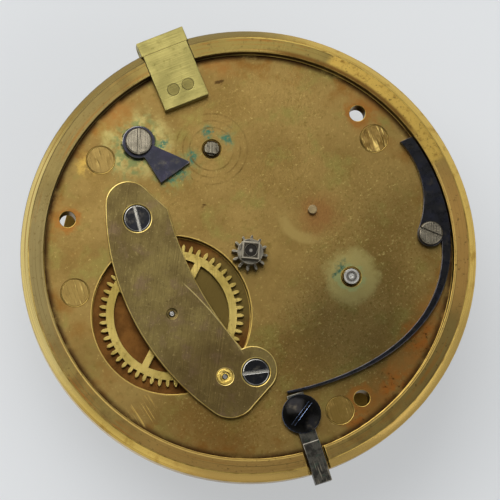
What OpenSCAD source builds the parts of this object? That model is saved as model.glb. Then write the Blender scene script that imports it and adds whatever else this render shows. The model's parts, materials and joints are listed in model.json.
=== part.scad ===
// Full-plate fusee pocket watch movement, dial side up, with the dial and motion work taken off.
// Origin at the middle of the underside; +Y points to the case hinge; all lengths in millimetres.

/* [Pillar plate] */
// Radius of the plate over its rim
plate_r = 22.8; // [22.6:0.05:23.2]
// Radius of the flat ring on top of the rim
rim_flat_r = 22.0; // [21.7:0.05:22.3]
// Radius of the inner wall of the rim
rim_inner_r = 20.5; // [20.45:0.05:20.9]
// Height of the rim above the dial face
rim_h = 1.2; // [1.1:0.05:1.6]
// Height of the polished bevel at the outer edge of the rim
bevel_h = 0.7; // [0.3:0.05:0.9]
// Thickness of the plate below the dial face
plate_t = 2.4; // [2.3:0.05:2.8]
// Radius of the plate under its flange
under_r = 21.6; // [21.2:0.1:22]
// Height of the step from the underside of the plate to its flange
flange_step = 0.8; // [0.4:0.1:1.2]
// Radius of the dial foot holes
dial_foot_r = 0.8; // [0.6:0.05:0.9]
// Depth of the recess for the third wheel
recess_depth = 1.0; // [0.95:0.05:1.1]
// Gap round the teeth of the third wheel in its recess
recess_gap = 0.72; // [0.4:0.02:0.8]
// Depth of the sink under the plate for the centre wheel
sink_depth = 0.95; // [0.9:0.05:1]

/* [Layout] */
// Distance of the third wheel from the centre
third_d = 9.82; // [9.7:0.02:9.9]
// Direction of the third wheel
third_a = 195.9; // [194:0.1:197]
// Distance of the contrate arbor from the centre
contrate_d = 12.56; // [12.4:0.02:12.7]
// Direction of the contrate arbor
contrate_a = 236.5; // [235:0.1:238]
// Distance of the fusee from the centre
fusee_d = 10.47; // [10.4:0.01:10.6]
// Direction of the fusee
fusee_a = -34; // [-36:0.1:-33]
// Distance of the barrel from the centre
barrel_d = 11.39; // [11.35:0.01:11.6]
// Direction of the barrel
barrel_a = 86.9; // [85:0.1:88]
// Direction of the crown wheel's axis, from the contrate arbor to the verge
escape_a = 82.6; // [81:0.1:84]
// Distance of the verge from the contrate arbor
verge_d = 8.35; // [8.25:0.01:8.45]

/* [Frame] */
// Radius of the top plate
top_r = 19.0; // [18.95:0.05:19.6]
// Thickness of the top plate
top_t = 1.0; // [0.9:0.05:1.1]
// Distance between the plates
frame_h = 6.2; // [6.1:0.05:6.5]
// Radius of the riveted pillar ends
pillar_rivet_r = 1.35; // [1.2:0.05:1.45]
// Radius of the pillar shoulders at the pillar plate
pillar_foot_r = 1.6; // [1.5:0.05:1.7]
// Radius of the pillar shoulders at the top plate
pillar_head_r = 1.15; // [1:0.05:1.3]
// Radius of the pillar waists
pillar_waist_r = 0.9; // [0.7:0.05:1.1]
// Radius of the pillar ends in the top plate
pillar_pin_end_r = 0.65; // [0.55:0.05:0.8]
// How far the pillar ends stand out of the top plate
pillar_end_h = 1.0; // [0.9:0.05:1.3]
// Radius of the pillar pins
pin_r = 0.25; // [0.2:0.02:0.3]
// Length of the pillar pins
pin_len = 3.2; // [2.6:0.1:3.6]

/* [Third wheel bridge] */
// Thickness of the bridge
bridge_t = 0.8; // [0.7:0.05:1]
// Half the width of the bridge over the third wheel
bridge_half_w = 3.68; // [3.4:0.02:3.9]
// Radius of the outer long edge of the bridge
bridge_outer_r = 25.5; // [24.5:0.1:26.5]
// Radius of the inner long edge of the bridge
bridge_inner_r = 34.7; // [33:0.1:36]
// Tilt of the bridge across the third wheel
bridge_a = 8; // [6:0.1:9]
// Radius of the rounded end by the upper screw
bridge_end_r = 2.3; // [2.2:0.05:2.5]
// Radius of the rounded end round the contrate pivot
bridge_foot_r = 2.75; // [2.5:0.05:2.9]
// Radius of the rounded lobe round the lower screw
bridge_lobe_r = 2.4; // [2.2:0.05:2.6]
// Radius of the bush for the contrate pivot
bush_r = 0.8; // [0.6:0.05:1]
// Radius of the bridge screw heads
bridge_screw_head_r = 1.38; // [1.2:0.02:1.5]
// Height of the bridge screw heads
bridge_screw_head_h = 0.45; // [0.35:0.05:0.55]

/* [Hinge] */
// Width of the hinge block
hinge_w = 4.7; // [4.4:0.1:5.2]
// Distance of the hinge block's inner end from the centre
hinge_in = 16.5; // [16:0.1:17]
// Distance of the hinge axis from the centre
hinge_axis_d = 23.2; // [23.1:0.05:23.6]
// Radius of the hinge knuckle
knuckle_r = 0.75; // [0.7:0.02:0.85]
// Length of the hinge knuckle
knuckle_len = 5.0; // [4.8:0.1:5.6]
// Radius of the bore for the hinge pin
hinge_pin_r = 0.4; // [0.3:0.02:0.45]
// Radius of the hinge rivets
hinge_rivet_r = 0.6; // [0.5:0.02:0.65]
// Distance between the hinge rivets
hinge_rivet_gap = 1.56; // [1.4:0.02:1.8]

/* [Click and bolt] */
// Radius of the round end of the click
click_hub_r = 1.63; // [1.5:0.02:1.8]
// Thickness of the click
click_t = 0.7; // [0.5:0.05:0.8]
// Reach of the long corner of the click's fan tail
click_long = 5.53; // [5:0.02:5.8]
// Reach of the short corner of the click's fan tail
click_short = 4.72; // [4.3:0.02:5]
// Width of the click's neck where the fan begins
click_neck = 1.5; // [1.2:0.05:1.8]
// Radius of the click screw head
click_head_r = 1.34; // [1.2:0.02:1.5]
// Direction of the bolt from the centre
bolt_a = -94.5; // [-96:0.1:-93]
// Width of the bolt's tongue
bolt_w = 1.7; // [1.5:0.05:1.8]
// Thickness of the bolt
bolt_t = 0.7; // [0.6:0.05:0.8]
// Distance of the bolt screw from the centre
bolt_screw_d = 16.8; // [16.7:0.02:16.9]
// Distance of the bolt's tip from the centre
bolt_tip = 23.95; // [23.6:0.05:24.2]
// Distance of the raised step on the bolt from the centre
bolt_step = 19.75; // [19.7:0.05:20.2]
// Extra height of the raised step on the bolt
bolt_step_h = 0.35; // [0.1:0.05:0.5]
// How far the bolt draws inwards
bolt_travel = 0.9; // [0.6:0.05:0.95]
// Radius of the domed bolt screw head
bolt_head_r = 1.95; // [1.8:0.02:2]
// Height of the bolt spring
spring_h = 0.9; // [0.7:0.05:1]
// Radius of the round part of the bolt spring by its screw
spring_hub_r = 1.3; // [1.25:0.05:1.5]
// Width of the bolt spring's arm at the foot
spring_w = 0.98; // [0.8:0.02:1.1]
// Width of the bolt spring's arm at the tip
spring_tip_w = 0.26; // [0.2:0.02:0.4]
// Radius of the bolt spring screw head
spring_head_r = 1.2; // [1.1:0.02:1.3]

/* [Train] */
// Teeth of the great wheel
great_teeth = 54; // [48:6:60]
// Leaves of the centre pinion
centre_leaves = 12; // [10:2:12]
// Teeth of the centre wheel
centre_teeth = 72; // [64:8:72]
// Leaves of the third pinion
third_leaves = 8; // [8:1:8]
// Teeth of the third wheel
third_teeth = 54; // [50:2:56]
// Leaves of the contrate pinion
contrate_leaves = 10; // [10:1:10]
// Teeth of the contrate wheel
contrate_teeth = 48; // [46:2:50]
// Leaves of the crown pinion
crown_leaves = 6; // [6:1:6]
// Thickness of the train wheels
wheel_t = 0.5; // [0.4:0.02:0.55]
// Thickness of the great wheel
great_t = 0.7; // [0.5:0.05:0.75]
// Width of the rim of the third wheel inside its teeth
third_rim_w = 0.8; // [0.6:0.05:1]
// Width of the wheel spokes
spoke_w = 0.7; // [0.5:0.05:0.9]
// Direction of the third wheel's spokes
third_spoke_a = 40.6; // [30:0.2:50]
// Radius of the slender arbors
arbor_r = 0.45; // [0.4:0.02:0.48]
// Radius of the slender pivots
pivot_r = 0.22; // [0.18:0.01:0.25]
// Radius of the upper part of the centre arbor
centre_arbor_r = 0.6; // [0.5:0.02:0.65]
// Height of the cannon pinion's top above the dial face
cannon_top = 3.2; // [2.9:0.05:3.5]
// Leaves of the cannon pinion
cannon_leaves = 12; // [10:1:14]
// Radius of the cannon pinion's leaves
cannon_r = 1.8; // [1.7:0.02:1.9]
// Height of the cannon pinion's leaves
cannon_leaf_h = 1.3; // [1:0.05:1.5]
// Radius of the cannon pinion's pipe
cannon_pipe_r = 1.28; // [1.21:0.01:1.35]
// Width of the hand-setting square
cannon_square = 1.7; // [1.6:0.02:1.8]
// Height of the hand-setting square
cannon_square_h = 0.9; // [0.7:0.05:1]

/* [Fusee and barrel] */
// Radius of the fusee's largest groove
fusee_big_r = 7.0; // [6.8:0.05:7.1]
// Radius of the fusee's smallest groove
fusee_small_r = 3.2; // [3:0.05:3.6]
// Number of turns in the fusee's groove
fusee_turns = 6; // [5:1:6]
// Radius of the fusee arbor's pivot
fusee_pivot_r = 0.77; // [0.7:0.01:0.8]
// Width of the winding square
winding_square = 1.3; // [1.1:0.05:1.3]
// Radius of the barrel
barrel_r = 8.9; // [8.7:0.05:8.95]
// Thickness of the barrel's wall
barrel_wall = 0.4; // [0.3:0.02:0.5]
// Radius of the barrel arbor's end
barrel_pivot_r = 0.72; // [0.65:0.01:0.78]
// Radius of the barrel arbor's core
barrel_core_r = 1.7; // [1.5:0.05:2]
// Thickness of the mainspring
mainspring_t = 0.25; // [0.18:0.01:0.28]
// Number of turns of the mainspring
mainspring_turns = 7; // [6:1:8]
// Thickness of the fusee chain
chain_t = 0.4; // [0.3:0.02:0.44]
// Height of the fusee chain
chain_h = 0.5; // [0.4:0.02:0.52]
// Rise of the chain for each turn on the barrel
chain_pitch = 1.0; // [0.95:0.01:1.05]
// Number of chain turns on the barrel
chain_turns = 3; // [2:1:3]

/* [Escapement] */
// Radius of the crown wheel
crown_r = 2.0; // [1.9:0.02:2.05]
// Number of crown wheel teeth
crown_teeth = 13; // [11:2:15]
// Radius of the contrate wheel's toothed band
contrate_r = 4.8; // [4.7:0.02:4.9]
// Thickness of the contrate wheel's toothed band
contrate_band = 0.4; // [0.3:0.02:0.44]
// Radius of the balance
balance_r = 8.3; // [8:0.05:8.5]
// Width of the balance rim
balance_rim_w = 0.7; // [0.6:0.05:0.9]
// Thickness of the balance
balance_t = 0.7; // [0.5:0.05:0.75]
// Reach of the verge pallets
pallet_reach = 0.9; // [0.8:0.01:0.92]
// Radius of the verge
verge_r = 0.3; // [0.25:0.01:0.32]
// Thickness of the hairspring
hairspring_t = 0.14; // [0.1:0.01:0.18]
// Height of the hairspring
hairspring_h = 0.35; // [0.3:0.01:0.4]
// Number of turns of the hairspring
hairspring_turns = 4; // [3:1:5]
// Outer radius of the hairspring
hairspring_r = 4.2; // [4:0.05:4.4]
// Radius of the balance cock's table
cock_r = 9.2; // [9:0.05:9.3]
// Thickness of the balance cock's table
cock_t = 0.8; // [0.7:0.05:0.9]
// Width of the balance cock's foot
cock_foot_w = 7; // [6:0.1:7.4]
// Length of the regulator's pointer
regulator_len = 7.5; // [6.5:0.1:8]

/* [Clearances] */
// Gap between a pivot and its hole
pivot_gap = 0.04; // [0.02:0.01:0.06]
// Gap between pieces that are fixed together
fit_gap = 0.01; // [0.01:0.005:0.02]
// Gap under pieces that slide on a plate
slide_gap = 0.04; // [0.02:0.01:0.06]
// End play of the arbors between the plates
end_play = 0.06; // [0.04:0.01:0.1]

/* [Hidden] */
$fn = 48;
eps = 0.2;
// How deep two joined forms of one piece run into each other
join = 0.1;

// Colours of the metals
brass = "#8f7236";
bright_brass = "#c9a64a";
pale_brass = "#a89a55";
steel = "#8d8d8b";
blued = "#25283d";
dark_steel = "#3c3b3a";

function polar(r, a) = [r * cos(a), r * sin(a)];
function up(p, z) = [p[0], p[1], z];
function angle_to(p, q) = atan2(q[1] - p[1], q[0] - p[0]);

// Places of the arbors
third_p = polar(third_d, third_a);
contrate_p = polar(contrate_d, contrate_a);
fusee_p = polar(fusee_d, fusee_a);
barrel_p = polar(barrel_d, barrel_a);
verge_p = contrate_p + polar(verge_d, escape_a);

// Levels, from the balance cock up to the cannon pinion
balance_air = 0.4;
hairspring_air = 0.25;
regulator_t = 0.3;
balance_z = cock_t + balance_air;
hairspring_z = balance_z + balance_t + hairspring_air;
regulator_z = hairspring_z + hairspring_h + hairspring_air;
top_z = regulator_z + regulator_t + slide_gap;
frame_z = top_z + top_t;
under_z = frame_z + frame_h;
dial_z = under_z + plate_t;
rim_z = dial_z + rim_h;
recess_z = dial_z - recess_depth;
sink_z = under_z + sink_depth;
bridge_z = dial_z + bridge_t;

// Tooth modules from the centre distances
great_m = 2 * fusee_d / (great_teeth + centre_leaves);
centre_m = 2 * third_d / (centre_teeth + third_leaves);
third_m = 2 * norm(contrate_p - third_p) / (third_teeth + contrate_leaves);
contrate_pitch_r = contrate_r - contrate_band / 2;
contrate_m = 2 * contrate_pitch_r / contrate_teeth;

// Tooth proportions, as multiples of the module
wheel_add = 1.25;
wheel_ded = 1.4;
wheel_tooth = 1.45;
leaf_add = 0.7;
leaf_ded = 1.65;
leaf_tooth = 0.95;
contrate_tooth = 1.25;

// Shape of a tooth above the pitch line, as shares of its height and of its half width
curve_h = 0.6;
curve_w = 0.68;
tip_w = 0.2;
leaf_tip_w = 0.45;

function tip_r(n, m) = m * (n / 2 + wheel_add);
function root_r(n, m) = m * (n / 2 - wheel_ded);
function leaf_tip_r(n, m) = m * (n / 2 + leaf_add);

// Wheel levels
great_drop = 1.1;
centre_wheel_air = 0.15;
third_wheel_air = 0.2;
contrate_web_drop = 0.8;
contrate_web_t = 0.4;
great_z = under_z - great_drop;
centre_wheel_z = under_z + centre_wheel_air;
third_wheel_z = recess_z + third_wheel_air;
contrate_web_z = under_z - contrate_web_drop;
crown_z = frame_z + frame_h / 2;
contrate_pitch_z = crown_z + crown_leaves * contrate_m / 2;
contrate_tip_z = contrate_pitch_z - wheel_add * contrate_m;
contrate_root_z = contrate_pitch_z + wheel_ded * contrate_m;

// Places on the dial side
pillar_d = [17.66, 17.79, 17.43, 18];
pillar_a = [125.1, 170.5, 21.1, -82.1];
dial_foot_d = [18.46, 18.24, 18.2];
dial_foot_a = [146.9, 30.65, -74.2];
stud_d = 7.83;
stud_a = 13.6;
click_d = 15.8;
click_a = 112.3;
bridge_screw_1_d = 11.74;
bridge_screw_1_a = 140.35;
bridge_screw_2_d = 11.87;
bridge_screw_2_a = -109.3;
spring_screw_d = 18.3;
spring_screw_a = -15.4;
pillar_places = [for (i = [0:len(pillar_d) - 1]) polar(pillar_d[i], pillar_a[i])];
dial_foot_places = [for (i = [0:len(dial_foot_d) - 1]) polar(dial_foot_d[i], dial_foot_a[i])];
stud_p = polar(stud_d, stud_a);
click_p = polar(click_d, click_a);
bridge_screw_1 = polar(bridge_screw_1_d, bridge_screw_1_a);
bridge_screw_2 = polar(bridge_screw_2_d, bridge_screw_2_a);
spring_screw_p = polar(spring_screw_d, spring_screw_a);
bolt_screw_p = polar(bolt_screw_d, bolt_a);

// Screws: shanks, shoulders, heads and slots
screw_r = 0.55;
screw_depth = 1.1;
shoulder_r = 0.75;
shoulder_gap = 0.05;
head_edge = 0.12;
click_head_h = 0.6;
bolt_head_h = 0.75;
bolt_dome_flat = 0.4;
spring_head_h = 0.5;
cock_head_r = 1.34;
cock_head_h = 0.5;
screw_slot_w = 0.28;
screw_slot_share = 0.5;

// Directions in which the screw slots stand
bridge_slot_1_a = 82;
bridge_slot_2_a = -15;
click_slot_a = 67;
bolt_slot_a = 31;
spring_slot_a = -45;
potence_slot_a = 20;
counter_slot_a = 70;
cock_slot_a = 15;

// Teeth and leaves

function tooth(a, rp, m, thick) =
    let (h = thick * m / rp * 90 / PI)
    [
        polar(rp - wheel_ded * m, a - h), polar(rp, a - h),
        polar(rp + curve_h * wheel_add * m, a - curve_w * h), polar(rp + wheel_add * m, a - tip_w * h),
        polar(rp + wheel_add * m, a + tip_w * h), polar(rp + curve_h * wheel_add * m, a + curve_w * h),
        polar(rp, a + h), polar(rp - wheel_ded * m, a + h)
    ];

function leaf(a, rp, m) =
    let (h = leaf_tooth * m / rp * 90 / PI)
    [
        polar(rp - leaf_ded * m, a - h), polar(rp, a - h), polar(rp + leaf_add * m, a - leaf_tip_w * h),
        polar(rp + leaf_add * m, a + leaf_tip_w * h), polar(rp, a + h), polar(rp - leaf_ded * m, a + h)
    ];

// Toothed disc with a gap facing the direction a
module toothed_disc(n, m, t, a) {
    outline = [for (i = [0:n - 1]) each tooth(a + 360 * (i + 0.5) / n, n * m / 2, m, wheel_tooth)];
    linear_extrude(t) polygon(outline);
}

// Pinion with a leaf facing the direction a
module pinion(n, m, len, a) {
    outline = [for (i = [0:n - 1]) each leaf(a + 360 * i / n, n * m / 2, m)];
    linear_extrude(len) polygon(outline);
}

// The space between the hub, rim and spokes of a wheel
module crossings(rim, hub, count, a, t) {
    difference() {
        translate([0, 0, -eps]) cylinder(r = rim, h = t + 2 * eps);
        translate([0, 0, -2 * eps]) cylinder(r = hub, h = t + 4 * eps);
        for (i = [0:count - 1])
            rotate(a + 360 * i / count)
                translate([0, -spoke_w / 2, -2 * eps]) cube([2 * rim, spoke_w, t + 4 * eps]);
    }
}

module train_wheel(n, m, t, mesh_a, rim, hub, bore, count, spoke_a) {
    difference() {
        toothed_disc(n, m, t, mesh_a);
        crossings(rim, hub, count, spoke_a, t);
        translate([0, 0, -eps]) cylinder(r = bore, h = t + 2 * eps);
    }
}

// A round rod between two levels
module rod(r, z0, z1) {
    translate([0, 0, z0]) cylinder(r = r, h = z1 - z0);
}

// A drilled hole between two levels, at a place
module hole(p, r, z0, z1) {
    translate(up(p, z0)) cylinder(r = r, h = z1 - z0);
}

// The cut for a screwdriver across a head that rests at the origin
module screw_slot(head_r, head_h, slot_a) {
    rotate(slot_a)
        translate([-2 * head_r, -screw_slot_w / 2, head_h * (1 - screw_slot_share)])
            cube([4 * head_r, screw_slot_w, head_h]);
}

// Slotted screw with its head resting at the origin and its shank downwards
module slotted_screw(head_r, head_h, shank_r, shank_len, slot_a) {
    difference() {
        union() {
            rotate_extrude() polygon([
                [0, 0], [head_r, 0], [head_r, head_h - head_edge], [head_r - head_edge, head_h], [0, head_h]
            ]);
            rod(shank_r, -shank_len, join);
        }
        screw_slot(head_r, head_h, slot_a);
    }
}

// The space round the crown wheel: x runs from the verge to the contrate arbor, z up from the crown axis
module escapement() {
    translate(up(verge_p, crown_z)) rotate(escape_a + 180) children();
}

// Turns a piece drawn along z so that it lies along x
module lying() {
    rotate([0, 90, 0]) children();
}

// Pillar plate

module hinge_notch() {
    notch_w = hinge_w + 2 * fit_gap;
    bar_w = knuckle_len + 2 * fit_gap;
    translate([-notch_w / 2, hinge_in, dial_z]) cube([notch_w, plate_r, rim_h + eps]);
    translate([-bar_w / 2, hinge_axis_d - knuckle_r - fit_gap, dial_z]) cube([bar_w, plate_r, rim_h + eps]);
}

bolt_notch_gap = 0.25;
bolt_notch_w = bolt_w + 2 * bolt_notch_gap;

// Room round the wheels, leaves and pivots that the plate takes in
sink_gap = 0.2;
third_leaf_gap = 0.35;
contrate_leaf_gap = 0.3;
arbor_gap = 0.25;
oil_sink_w = 0.25;
oil_sink_d = 0.3;

module plate_disc() {
    flange_z = under_z + flange_step;
    rotate_extrude($fn = 96) polygon([
        [0, under_z], [under_r, under_z], [under_r, flange_z], [plate_r, flange_z], [plate_r, dial_z],
        [0, dial_z]
    ]);
}

// The raised rim, open where the bolt passes
module plate_rim() {
    difference() {
        rotate_extrude($fn = 96) polygon([
            [rim_inner_r, dial_z], [plate_r, dial_z], [plate_r, rim_z - bevel_h], [rim_flat_r, rim_z],
            [rim_inner_r, rim_z]
        ]);
        rotate(bolt_a) translate([0, -bolt_notch_w / 2, dial_z - eps])
            cube([2 * plate_r, bolt_notch_w, rim_h + 2 * eps]);
    }
}

module pillar_plate() {
    low = under_z - eps;
    high = dial_z + eps;
    color(brass) difference() {
        union() {
            plate_disc();
            plate_rim();
        }
        hole([0, 0], tip_r(centre_teeth, centre_m) + sink_gap, low, sink_z);
        hole(third_p, leaf_tip_r(third_leaves, centre_m) + third_leaf_gap, low, sink_z);
        hole(third_p, tip_r(third_teeth, third_m) + recess_gap, recess_z, high);
        hole(third_p, arbor_r + arbor_gap, under_z, dial_z);
        hole(contrate_p, leaf_tip_r(contrate_leaves, third_m) + contrate_leaf_gap, low, high);
        hole([0, 0], centre_arbor_r + pivot_gap, under_z, high);
        hole(fusee_p, fusee_pivot_r + pivot_gap, low, high);
        hole(fusee_p, fusee_pivot_r + oil_sink_w, dial_z - oil_sink_d, high);
        hole(barrel_p, barrel_pivot_r + fit_gap, low, high);
        hole(barrel_p, barrel_pivot_r + oil_sink_w, dial_z - oil_sink_d, high);
        hole(stud_p, stud_tenon_r + fit_gap, sink_z - eps, high);
        for (p = pillar_places)
            hole(p, pillar_rivet_r + fit_gap, low, high);
        for (p = dial_foot_places)
            hole(p, dial_foot_r, low, high);
        for (p = [bridge_screw_1, bridge_screw_2, click_p, spring_screw_p, bolt_screw_p])
            hole(p, screw_r + fit_gap, dial_z - screw_depth, high);
        for (x = [-0.5, 0.5])
            hole([x * hinge_rivet_gap, hinge_rivet_y], hinge_rivet_r + fit_gap, dial_z - hinge_rivet_d, high);
        hinge_notch();
    }
}

// Hinge block, with a knuckle outside the rim

hinge_rivet_in = 1.7;
hinge_rivet_d = 1;
hinge_rivet_y = hinge_in + hinge_rivet_in;
hinge_gap = 0.05;
knuckle_drop = 1.6;
knuckle_step = 0.15;
knuckle_z = rim_z - knuckle_drop;

module hinge_block() {
    bar_in = hinge_axis_d - knuckle_r;
    bar_out = hinge_axis_d + knuckle_r;
    bar_top = rim_z - knuckle_step;
    color(pale_brass) difference() {
        union() {
            translate([-hinge_w / 2, hinge_in, dial_z]) cube([hinge_w, bar_in - hinge_in, rim_h]);
            translate([-knuckle_len / 2, bar_in, knuckle_z])
                cube([knuckle_len, bar_out - bar_in, bar_top - knuckle_z]);
            translate([0, hinge_axis_d, knuckle_z]) lying() rod(knuckle_r, -knuckle_len / 2, knuckle_len / 2);
        }
        translate([0, hinge_axis_d, knuckle_z]) lying() rod(hinge_pin_r, -knuckle_len, knuckle_len);
        for (x = [-0.5, 0.5])
            hole([x * hinge_rivet_gap, hinge_rivet_y], hinge_rivet_r + fit_gap, dial_z - eps, rim_z + eps);
        rod(plate_r + hinge_gap, under_z, dial_z, $fn = 96);
    }
}

module hinge_rivets() {
    color(bright_brass)
        for (x = [-0.5, 0.5])
            hole([x * hinge_rivet_gap, hinge_rivet_y], hinge_rivet_r, dial_z - hinge_rivet_d, rim_z);
}

// Third wheel bridge, a crescent bar over the third wheel and the contrate arbor

bridge_end_a = 157.65;
bridge_foot_a = 212.7;
bridge_shoulder_a = 172.4;
bridge_end_flank_a = 23.9;
bridge_foot_flank_a = -70;
bridge_lobe_off = [-0.18, 0.3];
bridge_sink_w = 0.3;
bridge_sink_d = 0.25;
bush_sink_w = 0.25;
bush_sink_d = 0.2;

// The end and the foot lie inside the outer edge's circle and run into it without a corner
module bridge_outline() {
    outer_p = third_p + polar(bridge_outer_r - bridge_half_w, bridge_a);
    inner_p = third_p + polar(bridge_inner_r + bridge_half_w, bridge_a);
    end_p = outer_p + polar(bridge_outer_r - bridge_end_r, bridge_end_a);
    foot_p = outer_p + polar(bridge_outer_r - bridge_foot_r, bridge_foot_a);
    lobe_p = bridge_screw_2 + bridge_lobe_off;
    shoulder_p = inner_p + polar(bridge_inner_r, bridge_shoulder_a);
    far_r = 2 * bridge_outer_r;
    union() {
        difference() {
            intersection() {
                translate(outer_p) circle(r = bridge_outer_r, $fn = 96);
                polygon([
                    outer_p + polar(far_r, bridge_end_a), outer_p + polar(far_r, bridge_foot_a),
                    foot_p, lobe_p, shoulder_p, end_p
                ]);
            }
            translate(inner_p) circle(r = bridge_inner_r, $fn = 96);
        }
        translate(end_p) circle(r = bridge_end_r);
        translate(foot_p) circle(r = bridge_foot_r);
        translate(lobe_p) circle(r = bridge_lobe_r);
        polygon([end_p, shoulder_p, end_p + polar(bridge_end_r, bridge_end_flank_a)]);
        polygon([
            foot_p, foot_p + polar(bridge_foot_r, bridge_foot_flank_a),
            lobe_p + polar(bridge_lobe_r, bridge_foot_flank_a), lobe_p
        ]);
    }
}

module third_wheel_bridge() {
    color(brass) difference() {
        translate([0, 0, dial_z]) linear_extrude(bridge_t) bridge_outline();
        hole(third_p, pivot_r + pivot_gap, dial_z - eps, bridge_z + eps);
        hole(third_p, pivot_r + bridge_sink_w, bridge_z - bridge_sink_d, bridge_z + eps);
        hole(contrate_p, bush_r + fit_gap, dial_z - eps, bridge_z + eps);
        for (p = [bridge_screw_1, bridge_screw_2]) {
            hole(p, screw_r + fit_gap, dial_z - eps, bridge_z + eps);
            hole(p, bridge_screw_head_r + fit_gap, bridge_z - bridge_screw_head_h, bridge_z + eps);
        }
    }
}

module bridge_screw(p, slot_a) {
    shank_len = screw_depth + bridge_t - bridge_screw_head_h;
    translate(up(p, bridge_z - bridge_screw_head_h))
        slotted_screw(bridge_screw_head_r, bridge_screw_head_h, screw_r, shank_len, slot_a);
}

module bridge_screws() {
    color(blued) {
        bridge_screw(bridge_screw_1, bridge_slot_1_a);
        bridge_screw(bridge_screw_2, bridge_slot_2_a);
    }
}

module contrate_bush() {
    color(bright_brass) translate(contrate_p) difference() {
        rod(bush_r, dial_z, bridge_z);
        rod(pivot_r + pivot_gap, dial_z - eps, bridge_z + eps);
        rod(pivot_r + bush_sink_w, bridge_z - bush_sink_d, bridge_z + eps);
    }
}

// Click with its fan tail, turning on a shouldered screw

click_z = dial_z + slide_gap;
click_long_a = -43.1;
click_short_a = -83.9;
click_neck_a = (click_long_a + click_short_a) / 2;
click_neck_d = 1.14;
click_waist = 1.35;

module click() {
    neck = polar(click_neck_d, click_neck_a);
    side = polar(click_neck / 2, click_neck_a + 90);
    waist = polar(click_waist / 2, click_neck_a + 90);
    color(blued) translate(up(click_p, click_z)) difference() {
        union() {
            cylinder(r = click_hub_r, h = click_t);
            linear_extrude(click_t) polygon([
                -side, neck - waist, polar(click_short, click_short_a), polar(click_long, click_long_a),
                neck + waist, side
            ]);
        }
        translate([0, 0, -eps]) cylinder(r = shoulder_r + shoulder_gap, h = click_t + 2 * eps);
    }
}

// Shouldered screw standing on the plate, its head clear of a sliding piece of the given thickness
module shoulder_screw(head_r, head_h, piece_t, slot_a) {
    stem = piece_t + 2 * slide_gap;
    union() {
        rod(shoulder_r, 0, stem);
        rod(screw_r, -screw_depth, join);
        translate([0, 0, stem]) slotted_screw(head_r, head_h, shoulder_r, join, slot_a);
    }
}

module click_screw() {
    color(steel) translate(up(click_p, dial_z))
        shoulder_screw(click_head_r, click_head_h, click_t, click_slot_a);
}

// Bolt that holds the movement in its case

bolt_tail_d = 14.7;
bolt_eye_step = 0.3;

module bolt() {
    slot_r = shoulder_r + shoulder_gap;
    slot_h = bolt_t + 2 * eps;
    color(dark_steel) rotate(bolt_a) translate([0, 0, dial_z + slide_gap]) difference() {
        union() {
            translate([bolt_tail_d, -bolt_w / 2, 0]) cube([bolt_tip - bolt_tail_d, bolt_w, bolt_t]);
            translate([bolt_screw_d, 0, 0]) cylinder(r = bolt_head_r - bolt_eye_step, h = bolt_t);
            translate([bolt_step, -bolt_w / 2, 0]) cube([bolt_tip - bolt_step, bolt_w, bolt_t + bolt_step_h]);
        }
        translate([bolt_screw_d, 0, -eps]) cylinder(r = slot_r, h = slot_h);
        translate([bolt_screw_d + bolt_travel, 0, -eps]) cylinder(r = slot_r, h = slot_h);
        translate([bolt_screw_d, -slot_r, -eps]) cube([bolt_travel, 2 * slot_r, slot_h]);
    }
}

module bolt_screw() {
    dome_r = (pow(bolt_head_r, 2) + pow(bolt_head_h, 2)) / (2 * bolt_head_h) + bolt_dome_flat;
    stem = bolt_t + 2 * slide_gap;
    color(blued) translate(up(bolt_screw_p, dial_z)) union() {
        rod(shoulder_r, 0, stem + join);
        rod(screw_r, -screw_depth, join);
        translate([0, 0, stem]) difference() {
            intersection() {
                rod(bolt_head_r, 0, bolt_head_h);
                translate([0, 0, bolt_head_h - dome_r]) sphere(r = dome_r);
            }
            screw_slot(bolt_head_r, bolt_head_h, bolt_slot_a);
        }
    }
}

// Bolt spring: a broad foot along the rim and a long tapering arm that bears on the bolt's tail

spring_rim_gap = 0.12;
spring_foot_end_a = 14;
spring_foot_end_turn = 1.4;
spring_hollow_r = 8.49;
spring_hollow_a = 136.7;
spring_root_a = -13;
spring_root_in = 0.05;
spring_root_pull = 10;
spring_tip_pull = 9.05;
spring_tip_a = -11;
spring_tip_gap = 0.36;
spring_tip_past = 0.68;
spring_taper = 1.5;
spring_steps = 24;
spring_foot_r = rim_inner_r - spring_rim_gap;
spring_foot_end_p = polar(spring_foot_r, spring_foot_end_a);
spring_hollow_p = spring_screw_p + polar(spring_hub_r + spring_hollow_r, spring_hollow_a);
spring_root_p = polar(spring_foot_r - spring_root_in - spring_w / 2, spring_root_a);
spring_tip_p = polar(bolt_tail_d - spring_tip_gap, bolt_a) + polar(spring_tip_past, bolt_a - 90);
spring_root_pull_p = spring_root_p + polar(spring_root_pull, spring_root_a - 90);
spring_tip_pull_p = spring_tip_p + polar(spring_tip_pull, spring_tip_a);

// Point at the fraction f of a smooth curve from p to q that leaves p towards a and reaches q from b
function curve_point(p, a, b, q, f) =
    let (g = 1 - f)
    pow(g, 3) * p + 3 * g * g * f * a + 3 * g * f * f * b + pow(f, 3) * q;

spring_line = [
    for (i = [0:spring_steps])
        curve_point(spring_root_p, spring_root_pull_p, spring_tip_pull_p, spring_tip_p, i / spring_steps)
];

// A flat ribbon along a line of points, tapering from one width to another
function ribbon(line, w0, w1, taper = 1) =
    let (
        n = len(line) - 1,
        dirs = [for (i = [0:n]) let (d = line[min(i + 1, n)] - line[max(i - 1, 0)]) d / norm(d)],
        w = [for (i = [0:n]) (w1 + (w0 - w1) * pow(1 - i / n, taper)) / 2]
    )
    concat(
        [for (i = [0:n]) line[i] + w[i] * [-dirs[i][1], dirs[i][0]]],
        [for (i = [n:-1:0]) line[i] - w[i] * [-dirs[i][1], dirs[i][0]]]
    );

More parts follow.
